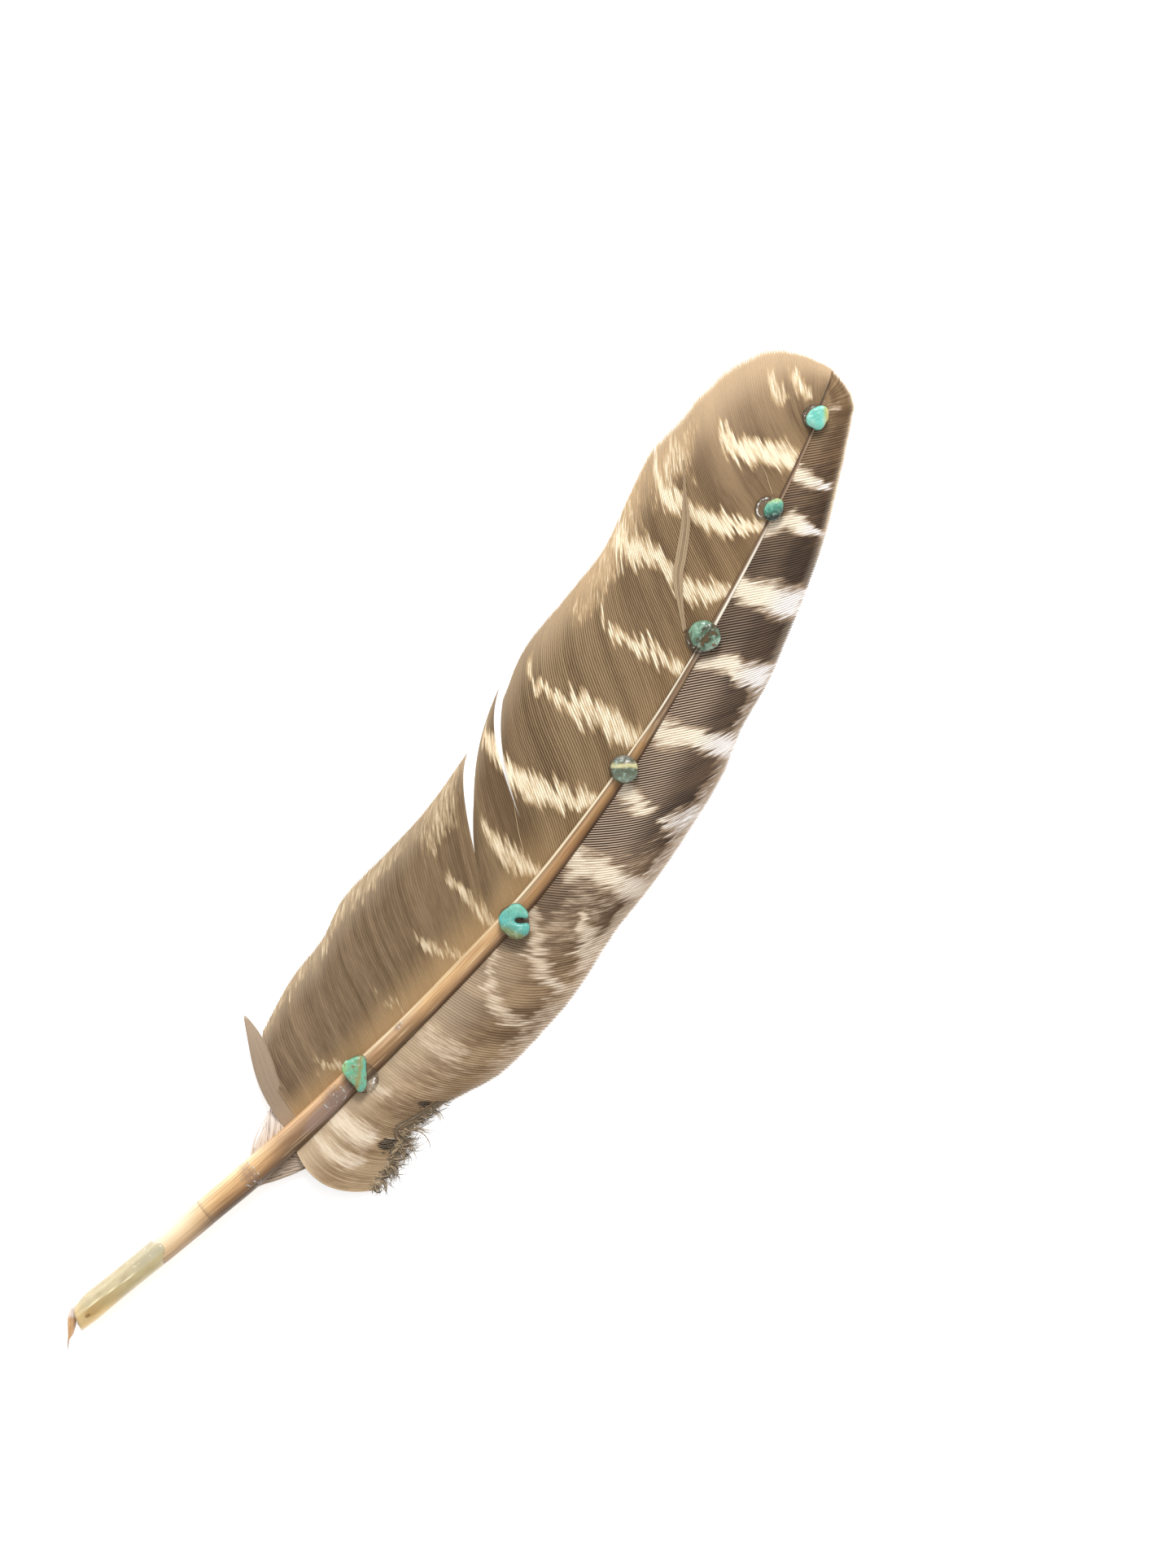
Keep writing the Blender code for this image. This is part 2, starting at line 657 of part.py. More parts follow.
def make_stones(group, cutters, glue_look, stone_looks):
    """Each chip in its pocket in a bead of glue that straddles the shaft."""
    for (name, (middle, radii, rise, height, outline)), look in zip(STONES.items(), stone_looks):
        top = shaft_top(middle[0])
        plane = vane_plane(middle[0], middle[1], max(radii))
        seat = max(top, plane) + 0.5
        outline_solid(name, outline, middle, seat, height, 0.0, group, look)
        pocket_name = name + "_pocket"
        low = seat - POCKET_GAP
        tall = height + 2 * POCKET_GAP
        pocket = outline_solid(pocket_name, outline, middle, low, tall, POCKET_GAP, cutters, None)
        bead_name = name.replace("stone", "glue")
        glue = bead(bead_name, middle, radii, plane, seat - plane + rise, group, glue_look)
        under = cutter_box(
            name + "_under",
            (middle[0] - CUTTER_REACH, middle[1] - CUTTER_REACH, plane - CUTTER_REACH),
            (middle[0] + CUTTER_REACH, middle[1] + CUTTER_REACH, plane),
            cutters,
        )
        xs = [middle[0] + step for step in (-6.0, -3.0, 0.0, 3.0, 6.0)]
        body = loft(name + "_shaft", [shaft_ring(x, 16, GLUE_GAP) for x in xs], cutters, None)
        cut(glue, pocket)
        cut(glue, under)
        if top > plane:
            cut(glue, body)


def make_glue_films(group, look):
    """Thin skins of dried glue on the shaft."""
    films = (
        ("glue_film_1", 52.2, 56.2, 40.0, 150.0),
        ("glue_film_2", 79.5, 84.6, 45.0, 120.0),
        ("glue_film_3", 103.6, 106.2, 30.0, 80.0),
    )
    for name, start, end, low, high in films:
        rows = []
        for k in range(4):
            x = start + (end - start) * k / 3
            angles = [180.0 - low - (high - low) * j / 5 for j in range(6)]
            rows.append([shaft_point(x, math.radians(a), 0.25) for a in angles])
        sheet(name, rows, 0.2, group, look)


def look(name, colour, roughness, clear=0.0):
    made = bpy.data.materials.new(name)
    made.use_nodes = True
    shader = made.node_tree.nodes["Principled BSDF"]
    shader.inputs["Base Color"].default_value = (*colour, 1.0)
    shader.inputs["Roughness"].default_value = roughness
    shader.inputs["Transmission Weight"].default_value = clear
    made.diffuse_color = (*colour, 1.0)
    return made


def move_origin_under_middle(group):
    """Hangs every part from an empty that puts the origin at the middle of the box's underside."""
    bpy.context.view_layer.update()
    graph = bpy.context.evaluated_depsgraph_get()
    low = Vector((FAR, FAR, FAR))
    high = -low
    for obj in group.objects:
        seen = obj.evaluated_get(graph)
        mesh = seen.to_mesh()
        for vertex in mesh.vertices:
            where = obj.matrix_world @ vertex.co
            low = Vector(map(min, low, where))
            high = Vector(map(max, high, where))
        seen.to_mesh_clear()
    frame = bpy.data.objects.new("row_frame", None)
    frame.location = (-(low.x + high.x) / 2, -(low.y + high.y) / 2, -low.z)
    bpy.context.scene.collection.objects.link(frame)
    for obj in bpy.data.objects:
        if obj != frame:
            obj.parent = frame


def main():
    clear_scene()
    group = bpy.data.collections.new("quill_pen")
    cutters = bpy.data.collections.new("cutters")
    bpy.context.scene.collection.children.link(group)
    bpy.context.scene.collection.children.link(cutters)
    cutters.hide_render = True

    horn = look("clear_horn", (0.62, 0.56, 0.36), 0.25)
    scraped = look("scraped_horn", (0.86, 0.72, 0.45), 0.4)
    shaft = look("shaft_horn", (0.42, 0.26, 0.12), 0.4)
    stained = look("stained_horn", (0.50, 0.30, 0.14), 0.45)
    pith = look("pith", (0.9, 0.86, 0.76), 0.9)
    pulp = look("dried_pulp", (0.80, 0.70, 0.45), 0.6)
    ink = look("dried_ink", (0.02, 0.02, 0.03), 0.5)
    wide = look("wide_vane", (0.22, 0.15, 0.09), 0.7)
    narrow = look("narrow_vane", (0.17, 0.12, 0.08), 0.7)
    down = look("down", (0.40, 0.32, 0.27), 0.85)
    pale = look("pale_barb", (0.70, 0.60, 0.45), 0.7)
    glue = look("clear_glue", (0.75, 0.74, 0.68), 0.1)
    blue = look("turquoise", (0.18, 0.55, 0.50), 0.35)
    green = look("green_turquoise", (0.24, 0.34, 0.24), 0.35)

    make_barrel(group, horn)
    make_neck(group, scraped)
    make_rachis(group, shaft)
    make_pith(group, pith)
    make_nib(group, cutters, stained)
    make_pulp(group, pulp)
    make_ink(group, ink)
    vane("vane_left_base_lock", LEFT_BASE_LOCK, 1.0, 3, group, wide)
    vane("vane_left_lower", LEFT_LOWER, 1.0, 16, group, wide)
    vane("vane_left_lock", LEFT_LOCK, 1.0, 6, group, wide)
    vane("vane_left_upper", LEFT_UPPER, 1.0, 26, group, wide)
    vane("vane_right_base", RIGHT_BASE, -1.0, 8, group, narrow)
    vane("vane_right_main", RIGHT_MAIN, -1.0, 30, group, narrow)
    make_down(group, down)
    make_loose_barbs(group, wide, pale)
    make_fringe(group, down)
    make_stones(group, cutters, glue, (blue, blue, green, green, blue, blue))
    make_glue_films(group, glue)
    for cutter in cutters.objects:
        cutter.display_type = "WIRE"
        cutter.hide_render = True
    move_origin_under_middle(group)


main()
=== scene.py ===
"""Looks of the quill pen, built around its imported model.

Places are in the drawing that the model was designed in: millimetres, with X along the feather from the cut
end, Y towards the wide vane and Z up. row_point() turns them into the frame that the model was packed in.
Each vane is made of its barbs, one closed strand for each, so its bars, splits and frayed ends are real.
"""

import math

import bmesh
import bpy
import numpy as np
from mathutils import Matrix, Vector, noise


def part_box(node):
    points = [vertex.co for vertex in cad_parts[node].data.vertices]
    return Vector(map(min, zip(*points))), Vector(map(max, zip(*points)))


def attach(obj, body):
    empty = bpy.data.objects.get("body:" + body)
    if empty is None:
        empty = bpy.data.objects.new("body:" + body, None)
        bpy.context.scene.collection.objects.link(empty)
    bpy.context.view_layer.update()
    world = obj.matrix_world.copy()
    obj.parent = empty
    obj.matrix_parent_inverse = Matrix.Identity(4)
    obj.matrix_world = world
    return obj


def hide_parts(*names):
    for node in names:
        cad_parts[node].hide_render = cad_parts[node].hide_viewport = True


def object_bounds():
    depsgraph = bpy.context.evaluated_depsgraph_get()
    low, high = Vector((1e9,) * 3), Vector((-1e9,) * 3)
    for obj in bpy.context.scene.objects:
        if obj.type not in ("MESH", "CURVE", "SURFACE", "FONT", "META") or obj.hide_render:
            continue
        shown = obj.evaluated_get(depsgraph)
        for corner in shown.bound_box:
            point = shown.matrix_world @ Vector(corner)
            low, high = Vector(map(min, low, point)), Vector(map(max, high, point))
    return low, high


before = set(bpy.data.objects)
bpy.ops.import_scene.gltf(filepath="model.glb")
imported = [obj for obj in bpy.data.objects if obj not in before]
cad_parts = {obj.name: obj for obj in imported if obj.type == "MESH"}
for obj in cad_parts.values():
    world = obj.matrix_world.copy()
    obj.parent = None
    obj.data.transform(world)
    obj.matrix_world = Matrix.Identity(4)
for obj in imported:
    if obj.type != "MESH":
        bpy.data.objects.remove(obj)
CAD_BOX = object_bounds()

MM = 0.001
TINY = 1e-9
DRAWING_LOW = Vector((-8.293, -42.743, 0.0))
SHIFT = Vector(CAD_BOX[0]) / MM - DRAWING_LOW

# Barbs: height of their outer ends, share of their length that the first bend takes, how far their roots lie
# inside the shaft, steps along each, width against the gap to its neighbours, and shaft length in one piece.
EDGE_HEIGHT = 0.4
START_REACH = 0.42
ROOT_DEPTH = 0.6
BARB_STEPS = 54
BARB_OVERLAP = 1.08
GROUP_SPAN = 29.0
# Share of the usual spacing at which the barbs of the first lock and of the foot stand.
LEAF_FINENESS = 0.35
FOOT_FINENESS = 0.72
# How many points the height of a web is averaged over.
NEAREST = 24
# How high the wide vane and the foot of the narrow one arch between root and edge, and by how much, and
# where along X, the arch gets lower past the foot and towards the tip.
WIDE_ARCH = 1.9
FOOT_ARCH = 3.0
FOOT_ARCH_LOSS = 1.4
FOOT_ARCH_FALLS = (110.0, 190.0)
TIP_ARCH_LOSS = 1.1
TIP_ARCH_FALLS = (200.0, 285.0)
# How far up the shaft's side the barbs are rooted, as a share of its height.
ROOT_HEIGHT = 0.6
# How far from a split the barbs are still pushed aside.
SPLIT_REACH = 2.6
# The least gap between barbs, the least that the widest may be, and the widest as a share of the usual one.
GAP_LEAST = 0.1
GAP_FLOOR = 0.12
GAP_MOST = 1.25
# Margin at each side of a face's strip in the baking map, as a share of the strip.
MAP_MARGIN = 0.12
# How much of its width a barb loses in the middle of a tear.
TORN_SHARE = 0.85
# The lowest that loose strands lie, and where the random draws of each set of them start.
STRAND_FLOOR = 0.15
LEFT_DOWN_SEED = 12
RIGHT_DOWN_SEED = 13
FRINGE_SEED = 21
# How unlike its neighbours a barb is, by itself and in slow waves along the shaft: share of its length, drift
# along X and height.
BARB_LUCK = (0.002, 0.03, 0.006)
BARB_WAVES = (0.006, 0.3, 0.25)
# Section of a barb: place across it, height at the ridge's full relief, and height that doesn't change.
BARB_SECTION = np.array(
    ((-1.0, 0.0, -0.05), (-0.42, 0.45, -0.01), (0.0, 1.0, 0.02), (0.42, 0.5, 0.03), (1.0, 0.0, 0.05))
    + ((0.3, 0.0, -0.12), (-0.3, 0.0, -0.14))
)
# Which of its points lie on the underside.
BARB_UNDERSIDE = np.array((0.0, 0.0, 0.0, 0.0, 0.0, 1.0, 1.0))
# Step in the grain from one strand to the next, so that no two look alike.
BARB_GRAIN = 5.7
LOOSE_GRAIN = 37.0

# Shaft: where the barrel, the neck and the hollow end, how far neighbours lap, and thickness of the walls.
BARREL_END = 27.0
NECK_END = 40.0
HOLLOW_END = 209.0
SHAFT_TIP = 290.4
LAP = 0.7
BARREL_WALL = 0.55
NECK_WALL = 0.6
SHELL_WALL = 0.65
SHAFT_SIDES = 64
# Where along X the section turns from round to square, how square it gets and how flat its foot, where the
# groove under it deepens and how deep it is as a share of half the height, and where the shaft lifts off.
SQUARING = (42.0, 66.0)
SQUARENESS = 0.8
FLAT_FOOT = 0.6
GROOVE = (135.0, 150.0)
GROOVE_DEPTH = 0.25
LIFT_START = 130.0
# Rings of points along each piece: the barrel, the neck, and the shell inside and outside.
BARREL_RINGS = 34
NECK_RINGS = 22
HOLLOW_RINGS = 60
SHELL_RINGS = 210
# The slanted mouth: how far it leans along X for each millimetre across, where the lean ends, and how much
# narrower its corner is.
MOUTH_LEAN = 0.32
MOUTH_END = 6.0
MOUTH_CORNER = 0.24
# Height of the ripples in the horn, and of the ridge along the barrel.
BARREL_RIPPLE = 0.015
SHELL_RIPPLE = 0.03
RIDGE_HEIGHT = 0.1

# Shaft stations: X, Y of the middle, width, height, Z of the underside.
SHAFT = (
    (-1.6, 0.3, 6.4, 6.4, 0.0),
    (3.0, -0.6, 6.8, 6.6, 0.0),
    (12.0, -2.35, 6.5, 6.5, 0.0),
    (27.0, -5.2, 6.6, 6.5, 0.0),
    (42.0, -7.8, 6.9, 6.7, 0.0),
    (55.0, -10.1, 7.0, 6.6, 0.0),
    (70.0, -12.3, 6.4, 6.0, 0.0),
    (90.0, -14.4, 5.8, 5.3, 0.0),
    (110.0, -16.4, 5.1, 4.7, 0.0),
    (130.0, -17.8, 4.9, 4.3, 0.0),
    (150.0, -18.6, 4.5, 3.9, 0.4),
    (170.0, -17.95, 3.9, 3.4, 1.1),
    (190.0, -16.4, 3.4, 2.9, 1.7),
    (210.0, -13.8, 2.3, 2.3, 2.2),
    (230.0, -10.3, 1.6, 1.8, 2.4),
    (255.0, -5.2, 1.2, 1.4, 2.2),
    (280.0, 1.1, 0.9, 1.1, 1.8),
    (291.0, 4.6, 0.6, 0.7, 1.6),
)

# Barbs that set each vane's outline: X of the root, X and Y of the tip, start and end headings in degrees,
# and how much of the length the last bend takes.
LEFT_BASE_LOCK = (
    (68.0, 82.2, 16.1, 78.0, 52.0, 0.42),
    (69.2, 82.5, 16.4, 75.0, 58.0, 0.42),
    (70.4, 82.6, 16.2, 72.0, 72.0, 0.42),
    (71.4, 82.7, 15.9, 71.0, 84.0, 0.42),
)
LEFT_LOWER = (
    (71.8, 83.2, 10.5, 72.0, 35.0, 0.42),
    (80.0, 97.0, 13.3, 60.0, 22.0, 0.42),
    (90.0, 109.0, 13.8, 58.0, 30.0, 0.42),
    (100.0, 121.0, 16.4, 57.0, 25.0, 0.42),
    (112.0, 135.0, 15.4, 56.0, 18.0, 0.38),
    (125.0, 151.0, 14.7, 54.0, 14.0, 0.3),
    (138.0, 167.5, 15.9, 52.0, 12.0, 0.2),
)
LEFT_LOCK = (
    (138.7, 158.2, 6.2, 54.0, 38.0, 0.42),
    (144.5, 170.0, 14.4, 54.0, 28.0, 0.38),
    (150.0, 179.0, 18.5, 53.0, 24.0, 0.34),
    (154.6, 187.0, 20.8, 52.0, 14.0, 0.34),
)
LEFT_UPPER = (
    (155.1, 183.8, 18.0, 53.0, 30.0, 0.34),
    (166.0, 196.0, 21.6, 54.0, 22.0, 0.38),
    (181.0, 212.0, 22.0, 53.0, 18.0, 0.4),
    (196.0, 227.0, 22.5, 54.0, 24.0, 0.42),
    (211.0, 240.5, 25.9, 56.0, 30.0, 0.42),
    (226.0, 253.0, 28.9, 61.0, 34.0, 0.42),
    (241.0, 264.0, 28.4, 67.0, 38.0, 0.42),
    (255.0, 273.5, 28.4, 74.0, 42.0, 0.42),
    (267.0, 283.4, 26.4, 76.0, 44.0, 0.42),
    (277.0, 291.0, 22.2, 74.0, 46.0, 0.42),
    (284.0, 295.1, 15.9, 66.0, 50.0, 0.42),
    (288.0, 296.6, 10.6, 52.0, 46.0, 0.42),
    (290.0, 297.0, 8.0, 36.0, 32.0, 0.42),
)
RIGHT_BASE = (
    (66.5, 71.5, -36.6, -116.0, -42.0, 0.42),
    (75.0, 79.5, -35.4, -102.0, -48.0, 0.42),
    (84.0, 88.0, -33.4, -94.0, -50.0, 0.42),
    (93.2, 99.6, -35.7, -90.0, -46.0, 0.42),
)
RIGHT_MAIN = (
    (93.6, 100.3, -36.5, -89.0, -46.0, 0.42),
    (103.0, 112.0, -41.0, -88.0, -46.0, 0.42),
    (113.0, 124.0, -42.3, -86.0, -42.0, 0.42),
    (124.0, 139.0, -42.5, -80.0, -35.0, 0.42),
    (136.0, 156.0, -40.3, -70.0, -26.0, 0.42),
    (148.0, 172.0, -39.7, -61.0, -18.0, 0.42),
    (160.0, 187.0, -38.3, -53.0, -16.0, 0.42),
    (175.0, 203.0, -35.8, -45.0, -16.0, 0.42),
    (190.0, 215.0, -32.0, -39.0, -14.0, 0.42),
    (205.0, 228.0, -29.6, -37.0, -18.0, 0.42),
    (220.0, 240.0, -26.0, -38.0, -20.0, 0.42),
    (235.0, 253.0, -21.8, -39.0, -24.0, 0.42),
    (250.0, 264.5, -17.3, -40.0, -28.0, 0.42),
    (263.0, 275.0, -12.3, -41.0, -30.0, 0.42),
    (275.0, 284.5, -7.3, -42.0, -32.0, 0.42),
    (284.0, 291.5, -3.4, -42.0, -35.0, 0.42),
    (287.5, 294.4, -1.3, -36.0, -30.0, 0.42),
    (289.2, 296.2, 3.0, -6.0, -4.0, 0.42),
    (290.0, 297.0, 7.7, 30.0, 30.0, 0.42),
)

# Spacing of the barbs' roots: X, wide vane, narrow vane.
BARB_PITCH = (
    (66.0, 0.62, 0.62),
    (100.0, 0.64, 0.67),
    (135.0, 0.66, 0.68),
    (165.0, 0.72, 0.73),
    (190.0, 0.72, 0.78),
    (215.0, 0.70, 0.81),
    (235.0, 0.65, 0.78),
    (255.0, 0.60, 0.70),
    (283.0, 0.52, 0.55),
    (286.0, 0.32, 0.34),
    (290.0, 0.18, 0.18),
)

# Colours of the web along the shaft, from 0 to 255: X, darkest, lightest.
TONE_START = 60.0
TONE_SPAN = 240.0
WIDE_TONES = (
    (66.0, (90, 72, 54), (146, 122, 96)),
    (100.0, (90, 71, 51), (136, 114, 88)),
    (150.0, (94, 73, 50), (132, 109, 81)),
    (175.0, (100, 79, 56), (144, 120, 90)),
    (220.0, (104, 82, 58), (148, 122, 92)),
    (240.0, (102, 79, 56), (146, 120, 89)),
    (265.0, (100, 78, 57), (142, 117, 88)),
    (290.0, (106, 84, 61), (148, 122, 92)),
)
NARROW_TONES = (
    (66.0, (136, 108, 79), (192, 166, 131)),
    (100.0, (114, 88, 63), (164, 137, 105)),
    (125.0, (102, 78, 55), (158, 131, 100)),
    (150.0, (70, 50, 34), (124, 98, 74)),
    (170.0, (46, 32, 24), (90, 70, 54)),
    (230.0, (44, 33, 26), (78, 60, 48)),
    (255.0, (54, 40, 30), (92, 72, 54)),
    (275.0, (74, 54, 38), (118, 92, 66)),
    (290.0, (112, 88, 62), (160, 132, 98)),
)
# Colours of a barb's ridge, of the lines between barbs, and of those lines inside a pale bar: a painted
# highlight on the ridge and painted shade in the grooves and creases, over the barb's own lighter shaft and
# darker barbules.
WIDE_LINES = ((184, 154, 114), (84, 62, 40), (196, 164, 120))
NARROW_LINES = ((224, 198, 172), (58, 42, 34), (150, 124, 104))

# Colours across the shaft, from the narrow vane's side at 0 to the wide vane's at 1, after the X where each
# zone starts to replace the one before and the X where it has done so. Over the horn's own streaked colours
# they paint shade on the narrow vane's side, away from the lamp, and from about X 86 a highlight line near
# the wide vane's side.
SHAFT_ZONES = (
    (0.0, 0.0, (
        (0.0, 176, 148, 118), (0.14, 184, 152, 116), (0.3, 216, 182, 140), (0.5, 236, 206, 164),
        (0.7, 246, 226, 190), (0.86, 250, 240, 212), (1.0, 248, 242, 222),
    )),
    (31.0, 45.0, (
        (0.0, 96, 74, 54), (0.12, 88, 66, 46), (0.26, 142, 108, 74), (0.42, 192, 150, 104),
        (0.58, 218, 176, 124), (0.76, 240, 200, 148), (0.92, 248, 222, 178), (1.0, 246, 224, 186),
    )),
    (56.0, 68.0, (
        (0.0, 80, 60, 42), (0.12, 96, 74, 54), (0.28, 126, 98, 70), (0.5, 142, 110, 80),
        (0.7, 176, 140, 106), (0.82, 204, 164, 124), (0.9, 240, 200, 156), (1.0, 228, 186, 140),
    )),
    (86.0, 94.0, (
        (0.0, 76, 56, 38), (0.12, 92, 70, 48), (0.28, 138, 106, 74), (0.42, 146, 112, 76),
        (0.56, 166, 130, 92), (0.7, 190, 152, 114), (0.81, 200, 168, 130), (0.9, 250, 230, 194),
        (1.0, 212, 180, 142),
    )),
    (106.0, 116.0, (
        (0.0, 78, 54, 36), (0.12, 98, 72, 48), (0.27, 162, 126, 90), (0.5, 190, 150, 104),
        (0.7, 216, 174, 124), (0.81, 214, 176, 126), (0.9, 236, 208, 164), (1.0, 246, 224, 186),
    )),
    (134.0, 150.0, (
        (0.0, 76, 52, 34), (0.14, 100, 72, 48), (0.27, 148, 112, 74), (0.42, 168, 128, 82),
        (0.6, 184, 144, 102), (0.72, 154, 122, 86), (0.8, 148, 120, 88), (0.87, 248, 234, 202),
        (0.96, 222, 202, 170), (1.0, 140, 114, 82),
    )),
    (162.0, 172.0, (
        (0.0, 62, 40, 26), (0.14, 76, 52, 32), (0.27, 128, 94, 58), (0.42, 152, 116, 72),
        (0.56, 172, 134, 90), (0.7, 178, 140, 100), (0.79, 104, 80, 52), (0.86, 250, 238, 206),
        (0.96, 222, 206, 176), (1.0, 120, 96, 68),
    )),
    (194.0, 206.0, (
        (0.0, 66, 48, 36), (0.14, 92, 70, 50), (0.3, 136, 110, 86), (0.45, 136, 108, 82),
        (0.62, 100, 78, 56), (0.72, 120, 100, 76), (0.79, 236, 228, 206), (0.9, 246, 238, 216),
        (0.97, 130, 110, 88), (1.0, 90, 70, 52),
    )),
    (218.0, 232.0, (
        (0.0, 150, 132, 114), (0.12, 244, 236, 218), (0.36, 254, 246, 228), (0.5, 190, 172, 152),
        (0.62, 112, 90, 70), (1.0, 104, 82, 60),
    )),
    (248.0, 262.0, (
        (0.0, 196, 168, 140), (0.25, 172, 144, 116), (0.45, 120, 94, 74), (0.62, 84, 62, 46),
        (1.0, 84, 64, 48),
    )),
)
# How far each bead of glue lies from its packed place along X and Y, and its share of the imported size.
GLUE_SHIFTS = (
    ((-0.2, 0.9), 0.8),
    ((-1.3, 1.3), 0.86),
    ((-0.9, 0.2), 0.9),
    ((0.0, 0.0), 0.86),
    ((0.3, 0.1), 0.86),
    ((0.2, -1.7), 0.9),
)
# Holes torn in the foot: middle, heading in degrees, reaches along and across, and loose ends in each: dark
# strands that paint the shade inside the hole.
FOOT_TEARS = (
    ((81.6, -31.6), -50.0, (3.4, 1.8), 60),
    ((94.6, -31.4), -50.0, (1.7, 0.85), 12),
)
# A small bead beside the first chip: its middle, its radius and its height.
SMALL_BEAD = ((288.1, 3.4), 0.55, 0.9)
# Skins of glue on the shaft: X of the middle, half the length, and turn round the shaft and reach in degrees.
GLUE_FILMS = (
    (54.2, 2.3, 92.0, 62.0),
    (82.0, 3.2, 96.0, 44.0),
    (105.0, 1.6, 122.0, 26.0),
)
# Section of a skin of glue: share of its reach, and height over the shaft.
FILM_SECTION = (
    (0.02, 0.03), (0.4, 0.05), (0.7, 0.05), (0.82, 0.07), (0.92, 0.06), (1.0, 0.0), (0.9, -0.08),
    (0.02, -0.08),
)
FILM_SIDES = 72

# Crust of ink on the barrel's mouth: its middle, its run, and half its length and width.
INK_MIDDLE = Vector((-1.15, -1.75, 0.0))
INK_RUN = Vector((-0.5, -1.9, 0.0)).normalized()
INK_REACHES = (1.25, 0.42)

# The nib: its root, its point, how far it runs back past its root as a share of its length, and its stops.
NIB_ROOT = Vector((0.2, 1.8, 3.9))
NIB_TIP = Vector((-8.2, -3.25, 1.0))
NIB_LAP = 0.12
NIB_STEPS = 48
# The nib's outline: share of the way to the point, then reaches from the slit to each edge.
NIB_EDGES = (
    (-NIB_LAP, 0.3, 0.9),
    (0.0, 0.9, 0.9),
    (0.12, 0.92, 1.2),
    (0.28, 0.76, 1.32),
    (0.42, 0.53, 1.18),
    (0.56, 0.31, 0.94),
    (0.63, 0.22, 0.6),
    (0.7, 0.18, 0.3),
    (0.9, 0.12, 0.2),
    (1.0, 0.04, 0.06),
)
# Half of the nib's section: share of the way from the slit to the edge, and height.
NIB_SECTION = (
    (0.0, 0.17), (0.35, 0.19), (0.7, 0.18), (0.94, 0.12), (1.0, 0.0), (0.94, -0.12), (0.7, -0.18),
    (0.35, -0.19), (0.0, -0.17),
)

# Lines of loose barbs. Over the wide vane lie a lock, between two edges, and two single hairs.
LOCK_EDGES = (
    ((223.8, -5.9), (227.7, -1.0), (232.4, 4.7), (236.9, 7.5), (244.1, 11.8), (250.4, 16.5), (256.4, 21.4)),
    ((225.0, -5.9), (228.6, -2.0), (234.4, 3.1), (238.6, 5.5), (245.5, 10.1), (250.9, 15.8), (256.6, 21.2)),
)
UPPER_HAIR = ((263.9, -0.9), (265.5, 1.8), (267.1, 4.5), (268.2, 8.2))
LOWER_HAIR = ((157.4, -10.8), (160.0, -7.2), (163.2, -3.2), (166.2, 0.2))
TIP_BARB = ((288.0, 4.3), (291.5, 5.4), (296.2, 7.0))
RIM_BARBS = (
    ((84.6, -30.0), (88.6, -31.2), (93.4, -33.4), (98.0, -35.0), (102.4, -36.6)),
    ((84.0, -30.8), (88.0, -32.2), (92.0, -34.2), (95.6, -35.6), (98.6, -37.0)),
    ((86.0, -29.8), (91.2, -31.8), (95.0, -33.2), (99.6, -34.4), (103.2, -35.4)),
    ((85.4, -31.0), (87.6, -33.4), (91.0, -35.0), (93.6, -36.2)),
)
LOCK_BARBS = 5
LOCK_STEPS = 60
BUNDLE_STEPS = 40
# Strands of down on each side, and the stops along one.
LEFT_DOWN = 54
RIGHT_DOWN = 60
DOWN_STEPS = 14
# Frayed ends of the foot: first and last root X, clumps, longest strand, and heading in degrees.
TUFTS = (
    (66.6, 73.5, 22, 6.0, -78.0),
    (73.0, 84.0, 52, 10.0, -62.0),
    (84.0, 93.0, 20, 5.4, -56.0),
)
STRANDS_PER_CLUMP = 6

# A chip's rounded rim as a share of its height, how far the outline is drawn in for each millimetre of rim,
# the skin before it is worn smooth, and the rounds of wear.
CHIP_RIM = 0.3
CHIP_INSET = 0.8
CHIP_SKIN = 0.12
CHIP_WEAR = 3

# The middle of the view, its turn about Z, and how much of the drawing it takes in from bottom to top.
VIEW_MIDDLE = (180.5, -11.8)
VIEW_TURN = math.radians(-50.0)
VIEW_TALL = 385.4
LENS = 100.0
SENSOR = 36.0

